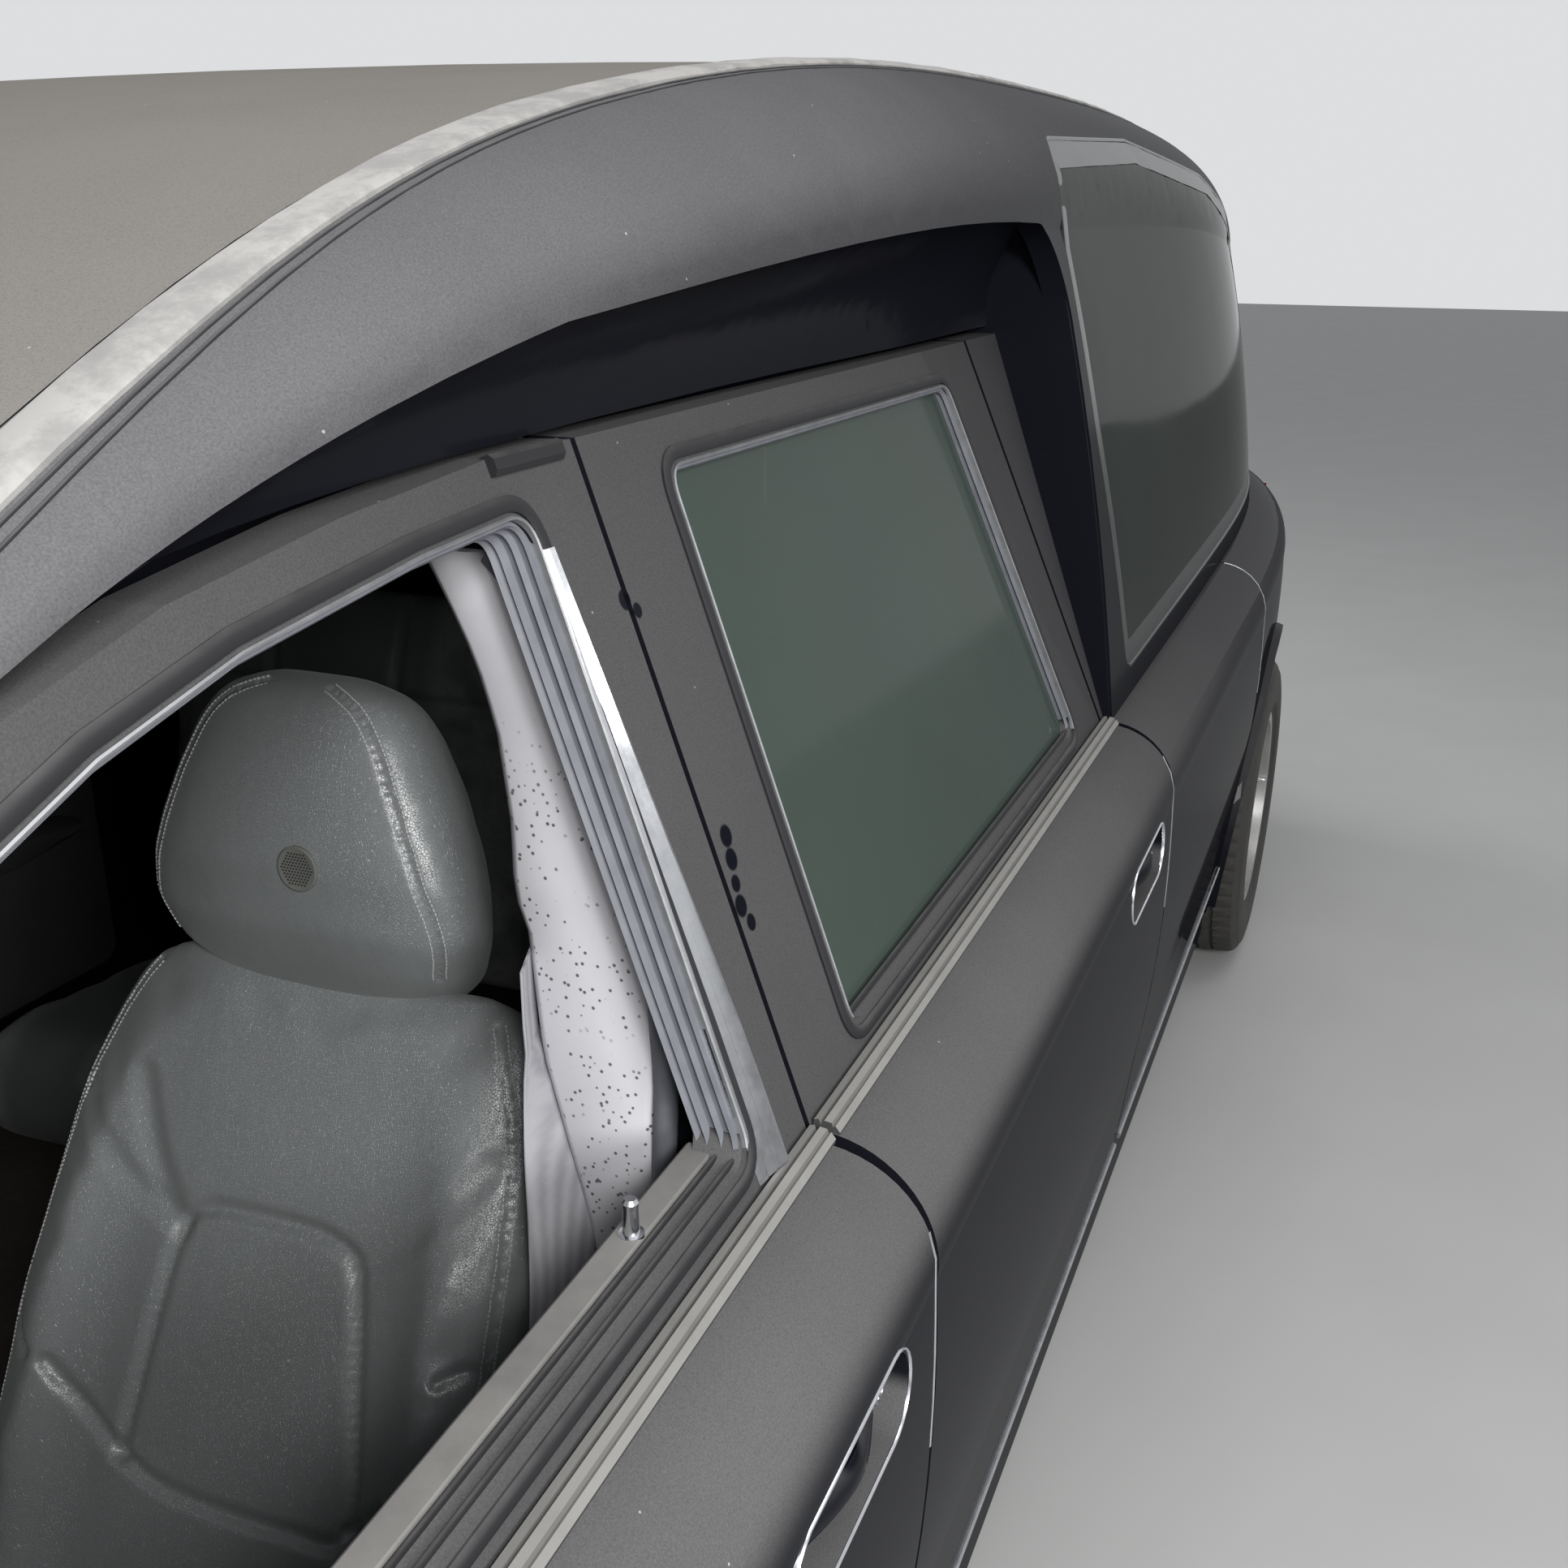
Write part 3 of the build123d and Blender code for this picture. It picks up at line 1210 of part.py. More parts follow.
WHEELS = [
    ("front_left", FRONT_AXLE_Y, 1),
    ("front_right", FRONT_AXLE_Y, -1),
    ("rear_left", REAR_AXLE_Y, 1),
    ("rear_right", REAR_AXLE_Y, -1),
]
wheel_tyre, wheel_rim = tyre(), rim()
for name, y, side in WHEELS:
    place = Pos(WHEEL_X, y, TYRE_R)
    for kind, shape in (("tyre", wheel_tyre), ("rim", wheel_rim)):
        left = place * shape
        save(f"{kind}_{name}", left if side == 1 else mirror(left, about=Plane.YZ))

# Door mirrors on short arms at the front foot of the window frames
with BuildPart() as door_mirror:
    mirror_y = FRONT_DOOR_Y + 90
    add(block((772, 930), (mirror_y + 25, mirror_y + 75), (950, 980)))
    with BuildSketch(section_plane(mirror_y)):
        with Locations((975, 1010)):
            RectangleRounded(170, 120, 28)
    extrude(amount=-85)
    foot = [(mirror_y + 10, 948), (mirror_y + 20, 1000), (mirror_y + 90, 1000), (mirror_y + 100, 948)]
    add(side_prism(foot, 740, 790))
    add(frame_band(mirror_y - 50, mirror_y + 150, 0, 200), mode=Mode.SUBTRACT)
save("mirror_left", door_mirror.part)
save("mirror_right", mirror(door_mirror.part, about=Plane.YZ))
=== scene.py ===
import math

import bmesh
import bpy
from mathutils import Matrix, Vector, geometry
from mathutils.bvhtree import BVHTree
from mathutils.kdtree import KDTree


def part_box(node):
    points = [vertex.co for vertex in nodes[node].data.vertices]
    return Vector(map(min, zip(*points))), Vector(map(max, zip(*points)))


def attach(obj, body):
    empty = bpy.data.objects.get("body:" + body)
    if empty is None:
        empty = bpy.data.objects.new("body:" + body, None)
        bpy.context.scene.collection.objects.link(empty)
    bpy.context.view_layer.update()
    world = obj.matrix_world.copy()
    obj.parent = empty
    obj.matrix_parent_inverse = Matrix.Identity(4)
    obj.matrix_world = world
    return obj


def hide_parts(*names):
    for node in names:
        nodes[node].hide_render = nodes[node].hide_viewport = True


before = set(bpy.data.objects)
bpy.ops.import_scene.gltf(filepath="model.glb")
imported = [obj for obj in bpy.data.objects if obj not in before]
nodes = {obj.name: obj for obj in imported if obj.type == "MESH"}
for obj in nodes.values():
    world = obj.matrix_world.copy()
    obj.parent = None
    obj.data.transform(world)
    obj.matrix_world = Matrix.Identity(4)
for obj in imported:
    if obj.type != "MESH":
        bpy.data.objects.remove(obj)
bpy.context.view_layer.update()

# Camera. It stands outside the open driver's window at eye height and looks back and down along
# the car's left side, as the photograph does. The lens angle is the photograph's own.
YAW, PITCH, ROLL = math.radians(22.19), math.radians(20.10), math.radians(0.28)
EYE = Vector((1.124, -1.323, 1.527))
forward_level = Vector((-math.sin(YAW), math.cos(YAW), 0))
right_level = Vector((math.cos(YAW), math.sin(YAW), 0))
forward = forward_level * math.cos(PITCH) - Vector((0, 0, 1)) * math.sin(PITCH)
up_level = Vector((0, 0, 1)) * math.cos(PITCH) + forward_level * math.sin(PITCH)
right = right_level * math.cos(ROLL) + up_level * math.sin(ROLL)
up = up_level * math.cos(ROLL) - right_level * math.sin(ROLL)
FOCAL_PX, PHOTO_PX, SENSOR_MM = 1919, 1932, 36
lens = bpy.data.cameras.new("photo_camera")
lens.sensor_width = SENSOR_MM
lens.lens = FOCAL_PX / PHOTO_PX * SENSOR_MM
lens.clip_start = 0.02
camera = bpy.data.objects.new("photo_camera", lens)
camera.matrix_world = Matrix.Translation(EYE) @ Matrix((right, up, -forward)).transposed().to_4x4()
bpy.context.scene.collection.objects.link(camera)
bpy.context.scene.camera = camera
bpy.context.scene.view_settings.view_transform = "Standard"


# Floor, room light and sky. A plain pale floor under an even sky, which shows pale to the camera, in
# gloss and through glass. Two soft lamps and a weak flash shine from the camera's side, a fill lamp
# from behind the car's right side and a long lamp from over its roof.
class Amount:
    """A number that varies over a surface. It wraps a node's socket, and sums on it add Math nodes."""

    def __init__(self, coat, socket):
        self.coat, self.socket = coat, socket

    def maths(self, operation, *numbers):
        return self.coat.node("Math", {"operation": operation}, dict(enumerate(numbers)))

    def __add__(self, other):
        return self.maths("ADD", self, other)

    def __sub__(self, other):
        return self.maths("SUBTRACT", self, other)

    def __rsub__(self, other):
        return self.maths("SUBTRACT", other, self)

    def __mul__(self, other):
        return self.maths("MULTIPLY", self, other)

    def __abs__(self):
        return self.maths("ABSOLUTE", self)

    __radd__ = __add__
    __rmul__ = __mul__

    def rise(self, low, high):
        """0 up to low, 1 from high on, and a soft ramp between."""
        settings = {"interpolation_type": "SMOOTHSTEP"}
        return self.coat.node("MapRange", settings, {0: self, 1: low, 2: high, 3: 0.0, 4: 1.0})


class Coat:
    """A surface finish, built from a Principled shader."""

    def __init__(self, name, **constants):
        self.material = bpy.data.materials.new(name)
        self.material.use_nodes = True
        self.tree = self.material.node_tree
        self.shader = self.tree.nodes["Principled BSDF"]
        for socket, value in constants.items():
            self.shader.inputs[socket.replace("_", " ")].default_value = value
        self.place = self.node("TexCoord", {}, {}, "Object")

    def node(self, kind, settings, sockets, out=0):
        made = self.tree.nodes.new("ShaderNode" + kind)
        for name, value in settings.items():
            setattr(made, name, value)
        for name, value in sockets.items():
            if isinstance(value, Amount):
                self.tree.links.new(value.socket, made.inputs[name])
            else:
                made.inputs[name].default_value = value
        return Amount(self, made.outputs[out])

    def along(self, axis):
        """X, Y or Z of a point of the object, for axis 0, 1 or 2."""
        return self.node("SeparateXYZ", {}, {0: self.place}, axis)

    def facing_up(self):
        """1 where the surface faces the sky, 0 where it stands upright, -1 where it faces the ground."""
        return self.node("SeparateXYZ", {}, {0: self.node("NewGeometry", {}, {}, "Normal")}, 2)

    def noise(self, scale, detail=3.0, rough=0.5, stretch=(1, 1, 1)):
        place = self.node("Mapping", {}, {"Vector": self.place, "Scale": stretch})
        sockets = {"Vector": place, "Scale": scale, "Detail": detail, "Roughness": rough}
        return self.node("TexNoise", {}, sockets)

    def cells(self, scale, feature="F1"):
        sockets = {"Vector": self.place, "Scale": scale}
        return self.node("TexVoronoi", {"feature": feature}, sockets, "Distance")

    def waves(self, direction, scale):
        """Even stripes across X, Y or Z."""
        sockets = {"Vector": self.place, "Scale": scale}
        return self.node("TexWave", {"bands_direction": direction}, sockets, "Fac")

    def specks(self, scale, size):
        """Small round spots, one in each cell of the given scale. size is their share of a cell."""
        return 1 - self.cells(scale).rise(size * 0.7, size)

    def near(self, place, radius):
        """1 at a point of the object and 0 from radius on."""
        gap = self.node("VectorMath", {"operation": "DISTANCE"}, {0: self.place, 1: place}, "Value")
        return 1 - gap.rise(radius * 0.75, radius)

    def mix(self, amount, first, second):
        """The first colour where amount is 0, and the second where it is 1."""
        first, second = (c if isinstance(c, Amount) else (*c, 1) for c in (first, second))
        return self.node("Mix", {"data_type": "RGBA"}, {0: amount, 6: first, 7: second}, 2)

    def feed(self, **links):
        for socket, value in links.items():
            self.tree.links.new(value.socket, self.shader.inputs[socket.replace("_", " ")])
        return self

    def mottled(self, first, second, *noise, rough=None):
        """Two colours, mixed by noise of the given scale, detail and roughness. rough holds how rough the
        surface is in each."""
        amount = self.noise(*noise)
        if rough:
            self.feed(Roughness=amount * (rough[1] - rough[0]) + rough[0])
        return self.feed(Base_Color=self.mix(amount, first, second))

    def bump(self, height, depth, strength=1.0):
        relief = self.node("Bump", {}, {"Height": height, "Distance": depth, "Strength": strength})
        return self.feed(Normal=relief)

    def on(self, *names):
        """Puts this finish on CAD pieces."""
        for name in names:
            nodes[name].data.materials.clear()
            nodes[name].data.materials.append(self.material)
        return self


floor_mesh = bpy.data.meshes.new("studio_floor")
floor_mesh.from_pydata([(-30, -30, 0), (30, -30, 0), (30, 30, 0), (-30, 30, 0)], [], [(0, 1, 2, 3)])
studio_floor = bpy.data.objects.new("studio_floor", floor_mesh)
bpy.context.scene.collection.objects.link(studio_floor)
floor_coat = Coat("pale_floor", Roughness=0.9)
floor_coat.mottled((0.47, 0.47, 0.46), (0.53, 0.53, 0.52), 3.0, 5.0)
floor_mesh.materials.append(floor_coat.material)

sky = bpy.data.worlds.new("studio_sky")
bpy.context.scene.world = sky
sky.use_nodes = True
sky_nodes, sky_links = sky.node_tree.nodes, sky.node_tree.links
rays = sky_nodes.new("ShaderNodeLightPath")
plain_sky = sky_nodes["Background"]
plain_sky.inputs["Color"].default_value = (0.94, 0.96, 1.0, 1)
plain_sky.inputs["Strength"].default_value = 0.36
pale_sky = sky_nodes.new("ShaderNodeBackground")
pale_sky.inputs["Color"].default_value = (0.72, 0.73, 0.74, 1)
seen = rays.outputs["Is Camera Ray"]
for kind in ("Is Glossy Ray", "Is Transmission Ray"):
    either = sky_nodes.new("ShaderNodeMath")
    either.operation = "MAXIMUM"
    sky_links.new(seen, either.inputs[0])
    sky_links.new(rays.outputs[kind], either.inputs[1])
    seen = either.outputs[0]
blend = sky_nodes.new("ShaderNodeMixShader")
sky_links.new(seen, blend.inputs[0])
sky_links.new(plain_sky.outputs[0], blend.inputs[1])
sky_links.new(pale_sky.outputs[0], blend.inputs[2])
sky_links.new(blend.outputs[0], sky_nodes["World Output"].inputs["Surface"])


def softbox(name, place, target, size, power):
    lamp = bpy.data.lights.new(name, "AREA")
    lamp.shape = "RECTANGLE"
    lamp.size, lamp.size_y = size
    lamp.energy = power
    made = bpy.data.objects.new(name, lamp)
    made.location = place
    made.rotation_euler = (Vector(target) - Vector(place)).to_track_quat("-Z", "Y").to_euler()
    bpy.context.scene.collection.objects.link(made)


softbox("key_lamp", (3.20, -2.50, 2.20), (0.40, -0.40, 0.98), (1.0, 0.8), 85)
softbox("high_lamp", (2.10, -2.30, 2.45), (0.40, -0.60, 0.75), (0.6, 0.5), 42)
softbox("flash_lamp", (1.30, -1.52, 1.64), (0.40, -0.45, 0.95), (0.16, 0.12), 2.4)
softbox("fill_lamp", (-4.5, 3.0, 4.2), (0, 0.5, 0.8), (3.0, 2.0), 110)
softbox("top_lamp", (0.5, 0.6, 5.5), (0, 0.6, 0.8), (2.5, 5.0), 95)

# Body paint. Blue-black two-layer lacquer on pressed steel, long unwashed: a fine grey film of dust
# lies on all that faces up, thins out on the flanks, holds pale specks and was touched by fingers.
# The film is also faded out towards the rear, which darkens the paint there as painted shade.
PAINT = (0.0050, 0.0055, 0.0090)
# where the dust was touched, and how far from there it is gone
FINGERPRINTS = [
    ((0.663, -0.463, 1.296), 0.008), ((0.666, -0.452, 1.287), 0.006), ((0.721, -0.438, 1.134), 0.009),
    ((0.726, -0.441, 1.119), 0.009), ((0.731, -0.446, 1.104), 0.007), ((0.737, -0.449, 1.090), 0.009),
    ((0.741, -0.443, 1.076), 0.007), ((0.871, -0.626, 0.828), 0.022), ((0.874, -0.602, 0.815), 0.014),
    ((0.885, 0.825, 0.795), 0.020),
]


def lacquered(name, dust_colour, film, upright, level, painted_shade_behind=0.0):
    """Lacquer under dust: none where the surface faces up less than upright says, all from level on.
    The last argument thins the dust towards the rear, which darkens the paint there as painted shade.
    """
    coat = Coat(name, IOR=1.45, Specular_IOR_Level=0.0, Coat_IOR=1.30, Coat_Roughness=0.04)
    cloud = coat.noise(2.4, 5.0, 0.6)
    dust = (coat.facing_up().rise(upright, level) * film + 0.03) * (0.78 + cloud * 0.44)
    # painted shade: less dust towards the rear of the car, so the paint is darker there
    dust = dust * (1 - coat.along(1).rise(-0.3, 1.5) * painted_shade_behind)
    for place, radius in FINGERPRINTS:
        dust = dust * (1 - coat.near(place, radius))
    grain = coat.noise(850.0, 1.0) * 0.7 + 0.65
    flecks = coat.specks(30.0, 0.030) * dust
    body = coat.mix(dust * grain, PAINT, dust_colour)
    coat.feed(
        Base_Color=coat.mix(flecks, body, (0.42, 0.41, 0.39)),
        Roughness=dust * 0.5 + 0.20,
        Coat_Weight=0.30 - dust * 0.45,
    )
    return coat


paint = lacquered("body_paint", (0.135, 0.133, 0.133), 0.78, 0.03, 0.52, 0.60)
paint.on(
    "bonnet", "front_wings", "front_bumper", "door_front_left", "door_front_right", "door_rear_left",
    "door_rear_right", "side_panels", "rear_wings", "rear_bumper", "body_frame", "tailgate",
)
shell_paint = lacquered("roof_side_paint", (0.135, 0.133, 0.137), 0.85, -0.02, 0.60, 0.72)
shell_paint.shader.inputs["Coat Roughness"].default_value = 0.14
shell_paint.on("roof_sides")
roof_paint = lacquered("roof_top_paint", (0.222, 0.210, 0.194), 0.95, 0.2, 0.9, 0.15)
roof_paint.on("roof_top")


# Roof ridges. A painted cover strip lies over the joint between the roof panel and each side shell.
# It catches the thickest dust, and thin seals run along both of its edges.
def surface_of(*names):
    """A search tree over CAD pieces, on which trim is laid."""
    whole = bmesh.new()
    for name in names:
        whole.from_mesh(nodes[name].data)
    tree = BVHTree.FromBMesh(whole)
    whole.free()
    return tree


def laid(tree, starts, aim, lift=0.0):
    """Points shot along aim onto a surface, as two lists: the places hit, and the way out of the skin."""
    aim = Vector(aim).normalized()
    path, outs = [], []
    for start in starts:
        place, out, _, _ = tree.ray_cast(Vector(start), aim)
        if place is not None:
            out = -out if out.dot(aim) > 0 else out
            path.append(place + out * lift)
            outs.append(out)
    return path, outs


def lofted(rings, closed=False):
    """A solid through rings that have the same number of points. A closed one ends where it starts."""
    shape = bmesh.new()
    rows = [[shape.verts.new(p) for p in ring] for ring in rings]
    for first, second in zip(rows, rows[1:] + rows[:1] if closed else rows[1:]):
        for k in range(len(first)):
            shape.faces.new((first[k - 1], first[k], second[k], second[k - 1]))
    if not closed:
        shape.faces.new(rows[0])
        shape.faces.new(rows[-1])
    return shape


def sweep(path, outs, section, closed=False, widths=None):
    """A strip whose section, in (across, out) points, is carried along a path. Widths stretch it."""
    if isinstance(outs, Vector):
        outs = [outs] * len(path)
    rings = []
    count = len(path)
    for i, (here, out) in enumerate(zip(path, outs)):
        before = path[i - 1] if closed or i else here
        after = path[(i + 1) % count] if closed or i < count - 1 else here
        across = (after - before).cross(out).normalized()
        across = across * (widths[i] if widths else 1)
        rings.append([here + across * a + out * o for a, o in section])
    return lofted(rings, closed)


def piece(name, shape, coat, body, crease=35):
    """Turns a bmesh into a piece with its finish, which rides on a CAD body."""
    bmesh.ops.recalc_face_normals(shape, faces=shape.faces)
    mesh = bpy.data.meshes.new(name)
    shape.to_mesh(mesh)
    shape.free()
    mesh.shade_smooth()
    mesh.set_sharp_from_angle(angle=math.radians(crease))
    mesh.materials.append(coat.material)
    made = bpy.data.objects.new(name, mesh)
    bpy.context.scene.collection.objects.link(made)
    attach(made, body)
    return made


def pair(name, shape, coat, body, crease=35):
    """A left-hand piece and its mirror image. A body whose name ends in an underline has two sides."""
    twin = shape.copy()
    bmesh.ops.scale(twin, vec=(-1, 1, 1), verts=twin.verts)
    both = []
    for side, form in (("left", shape), ("right", twin)):
        place = body + side if body.endswith("_") else body
        both.append(piece(f"{name}_{side}", form, coat, place, crease))
    return both


def bar(half, edge, top, height, sink):
    """The section of a strip: half its width, its edges' height, half its flat top, its height."""
    left = [(-half, -sink), (-half, edge), (-top, height)]
    return left + [(-across, out) for across, out in reversed(left)]


def bead(width, height, sink=0.002):
    """The section of a rounded strip."""
    return bar(width / 2, height * 0.55, width / 4, height, sink)


def run(start, end, step):
    """Numbers from start to end, about step apart."""
    count = max(2, round(abs(end - start) / step) + 1)
    return [start + (end - start) * i / (count - 1) for i in range(count)]


roof_side = surface_of("roof_sides")
ridge_front, ridge_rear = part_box("roof_sides")[0].y + 0.004, 2.63
ROOF_MIN_Z = 1.2


def ridge_x(y):
    """X of the ridge: the innermost place where a plumb line meets the left side shell."""
    low, high = 0.40, 0.62
    for _ in range(18):
        middle = (low + high) / 2
        hit = roof_side.ray_cast(Vector((middle, y, 3)), Vector((0, 0, -1)))[0]
        low, high = (low, middle) if hit is not None and hit.z > ROOF_MIN_Z else (middle, high)
    return high


ridge = [(ridge_x(y), y) for y in run(ridge_front, ridge_rear, 0.045)]


def along_ridge(gap):
    """A line on the left side shell that runs outside the ridge, gap away from it."""
    return laid(roof_side, [(x + gap, y, 3) for x, y in ridge], (0, 0, -1))


cover_coat = Coat("ridge_dust", Roughness=0.7)
wiped = cover_coat.noise(16.0, 6.0, 0.72).rise(0.42, 0.64)
thin_dust = cover_coat.mix(wiped, (0.16, 0.157, 0.152), (0.22, 0.215, 0.21))
cover_coat.feed(Base_Color=cover_coat.mix(wiped * 0.8, (0.36, 0.35, 0.335), thin_dust))
COVER = bar(0.016, 0.001, 0.012, 0.0035, 0.002)
pair("ridge_cover", sweep(*along_ridge(0.022), COVER), cover_coat, "root")
seal_coat = Coat("black_seal", Roughness=0.6)
seal_dust = seal_coat.facing_up().rise(0.3, 1.0) * seal_coat.noise(40.0, 4.0)
seal_coat.feed(Base_Color=seal_coat.mix(seal_dust, (0.012, 0.012, 0.014), (0.11, 0.108, 0.105)))
for name, gap in (("inner", 0.004), ("outer", 0.041), ("far", 0.047)):
    seal = sweep(*along_ridge(gap), bead(0.0022, 0.0012))
    pair(f"ridge_seal_{name}", seal, seal_coat, "root")

# Doors' window openings. Each has a black rubber lip on the outer frame, a dull metal finisher on the
# edge of the opening and a grooved channel in it, in which the glass runs. A polished strip that
# narrows upwards is stuck on the door frame behind the front window.
SEAM_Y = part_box("door_front_left")[1].y + 0.003
DOORS_START_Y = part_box("door_front_left")[0].y
DOORS_END_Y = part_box("door_rear_left")[1].y
BELT_Z, FRAME_FOOT_X, FRAME_LEAN = 0.935, 0.792, 0.3565
FRONT_OPENING = [
    (DOORS_START_Y + 0.168, 0.962), (DOORS_START_Y + 0.520, 1.262), (DOORS_START_Y + 0.580, 1.300),
    (DOORS_START_Y + 0.650, 1.322), (DOORS_START_Y + 0.745, 1.341), (SEAM_Y - 0.188, 1.356),
    (SEAM_Y - 0.080, 1.362), (SEAM_Y - 0.083, 0.962),
]
REAR_OPENING = [
    (SEAM_Y + 0.108, 0.958), (SEAM_Y + 0.108, 1.362), (DOORS_END_Y - 0.238, 1.357),
    (DOORS_END_Y - 0.132, 0.958),
]
frame_out = Vector((1, 0, FRAME_LEAN)).normalized()


def middle_of(points):
    return Vector((sum(p[0] for p in points) / len(points), sum(p[1] for p in points) / len(points)))


def outline(points, radius, grow=0.0):
    """A closed (Y, Z) outline with rounded corners, moved outwards by grow and cut into short steps."""
    centre = middle_of(points)
    corners = [Vector(p) for p in points]
    lines = []
    for a, b in zip(corners, corners[1:] + corners[:1]):
        out = Vector((b.y - a.y, a.x - b.x)).normalized()
        out = out if out.dot((a + b) / 2 - centre) > 0 else -out
        lines.append((a + out * grow, b + out * grow))
    moved = []
    for (a, b), (c, d) in zip(lines[-1:] + lines[:-1], lines):
        far, on = (b - a) * 9, (d - c) * 9
        moved.append(geometry.intersect_line_line_2d(a - far, b + far, c - on, d + on) or c)
    loop = []
    for before, corner, after in zip(moved[-1:] + moved[:-1], moved, moved[1:] + moved[:1]):
        back, on = (before - corner), (after - corner)
        turn = math.pi - back.angle(on)
        reach = min((radius + grow) * math.tan(turn / 2), back.length * 0.45, on.length * 0.45)
        first, last = corner + back.normalized() * reach, corner + on.normalized() * reach
        for t in run(0, 1, 1 / max(1, round(turn * 5))):
            loop.append(first * (1 - t) ** 2 + corner * 2 * t * (1 - t) + last * t**2)
    fine = []
    for a, b in zip(loop, loop[1:] + loop[:1]):
        steps = max(1, round((b - a).length / 0.04))
        fine.extend(a.lerp(b, i / steps) for i in range(steps))
    return fine


def on_frame(points):
    """(Y, Z) points on the doors' leaning outer face, and the way out of it."""
    return [Vector((FRAME_FOOT_X - (z - BELT_Z) * FRAME_LEAN, y, z)) for y, z in points], frame_out


bright = Coat("bright_trim", Metallic=1.0)
bright.mottled((0.55, 0.56, 0.58), (0.78, 0.79, 0.82), 60.0, 4.0, 0.7, rough=(0.12, 0.37)).on("grille")
dull = Coat("dusty_finisher", Metallic=0.7)
dull.mottled((0.22, 0.225, 0.235), (0.46, 0.465, 0.48), 45.0, 5.0, 0.7, rough=(0.32, 0.52))
channel_coat = Coat("window_channel", Roughness=0.62)
channel_coat.mottled((0.105, 0.110, 0.128), (0.200, 0.206, 0.228), 50.0, 4.0)
FINISHER = [(-0.0012, -0.004), (-0.0012, 0.0028), (0.0, 0.0036), (0.0012, 0.0028), (0.0012, -0.004)]
CHANNEL_RIBS = [
    (-0.001, -0.002), (0.0035, -0.002), (0.0045, -0.005), (0.0015, -0.007), (0.0015, -0.011),
    (0.0050, -0.0135), (0.0015, -0.016), (0.0015, -0.020), (0.0062, -0.023), (0.0025, -0.026),
    (0.0060, -0.030), (-0.001, -0.033),
]
for door, opening in (("front", FRONT_OPENING), ("rear", REAR_OPENING)):
    body = f"door_{door}_"
    lip = sweep(*on_frame(outline(opening, 0.020, 0.009)), bead(0.010, 0.0035), closed=True)
    pair(f"{door}_window_rubber", lip, seal_coat, body)
    loop = outline(opening, 0.020, 0.001)
    foot = [z < opening[0][1] + 0.006 for _, z in loop]
    start = next(i for i in range(len(loop)) if foot[i - 1] and not foot[i])
    arch = [p for p, low in zip(loop[start:] + loop[:start], foot[start:] + foot[:start]) if not low]
    pair(f"{door}_window_finisher", sweep(*on_frame(arch), FINISHER), dull, body)
    channel = sweep(*on_frame(arch), CHANNEL_RIBS)
    pair(f"{door}_window_channel", channel, channel_coat, body)
POLISHED = [
    (-0.006, -0.002), (-0.006, 0.0012), (-0.003, 0.0024), (0.004, 0.0034), (0.0052, 0.0030), (0.013, 0.0056),
    (0.0142, 0.0052), (0.023, 0.0084), (0.027, 0.0080), (0.029, -0.002),
]
TAPER_FROM_Z, HEAD_Z, HEAD_SHARE = 1.02, 1.340, 0.14
side_line = [(SEAM_Y - 0.0770, z) for z in run(0.942, HEAD_Z, 0.03)]
narrowing = (1 - HEAD_SHARE) / (HEAD_Z - TAPER_FROM_Z)
taper = [1 - narrowing * max(0, z - TAPER_FROM_Z) for _, z in side_line]
pillar_strip = sweep(*on_frame(side_line), POLISHED, widths=taper)
pair("front_window_pillar_strip", pillar_strip, bright, "door_front_")

# Waist mouldings. A grooved rubber-faced strip covers the joint between each door's frame and its
# shoulder. It is grey with dust.
waist_coat = Coat("waist_moulding", Roughness=0.75)
waist_film = waist_coat.facing_up().rise(-0.1, 0.8) * (0.7 + waist_coat.noise(20.0, 5.0, 0.7) * 0.6)
waist_coat.feed(Base_Color=waist_coat.mix(waist_film, (0.040, 0.040, 0.040), (0.250, 0.245, 0.232)))
GROOVED = [
    (-0.010, -0.002), (-0.010, 0.006), (-0.0065, 0.0075), (-0.0045, 0.0035), (-0.0025, 0.0075),
    (0.003, 0.0075), (0.0045, 0.0045), (0.006, 0.006), (0.010, 0.002), (0.010, -0.002),
]
WAIST_X, waist_out = 0.803, Vector((0.12, 0, 1)).normalized()


def straight(x, z, ends, out, section):
    """A straight strip along the car, from one Y to another."""
    return sweep([Vector((x, y, z)) for y in run(*ends, 0.1)], out, section)


for door, ends in (
    ("front", (DOORS_START_Y + 0.030, SEAM_Y - 0.004)),
    ("rear", (SEAM_Y + 0.004, DOORS_END_Y - 0.002)),
):
    waist = straight(WAIST_X, BELT_Z, ends, waist_out, GROOVED)
    pair(f"{door}_waist_moulding", waist, waist_coat, f"door_{door}_")

# Shoulder seams. A thin bead of polished metal runs down the rear edges of the doors and of the side
# panel over the shoulder. It is a painted highlight, for the light caught on these rounded edges.
side_skin = {
    "door_front_": surface_of("door_front_left"),
    "door_rear_": surface_of("door_rear_left"),
    "root": surface_of("side_panels", "rear_wings"),
}
HIGHLIGHT_HEIGHTS = [0.9345, 0.9335, 0.931, 0.925, 0.915, 0.90, 0.88, 0.86, 0.84, 0.81, 0.78, 0.74, 0.70]
OUTSIDE_X = 1.3


def from_side(tree, points):
    """(Y, Z) points laid on a surface from the left side of the car."""
    return laid(tree, [(OUTSIDE_X, y, z) for y, z in points], (-1, 0, 0))


for name, y, body in (
    ("front_door_edge_highlight", SEAM_Y - 0.0045, "door_front_"),
    ("rear_door_edge_highlight", DOORS_END_Y - 0.0020, "door_rear_"),
    ("side_panel_edge_highlight", 1.5680, "root"),
):
    highlight_path = from_side(side_skin[body], [(y, z) for z in HIGHLIGHT_HEIGHTS])
    # painted highlight: a bright bead where the rounded seam edge catches the light
    pair(name, sweep(*highlight_path, bead(0.0030, 0.0012, 0.001)), bright, body)

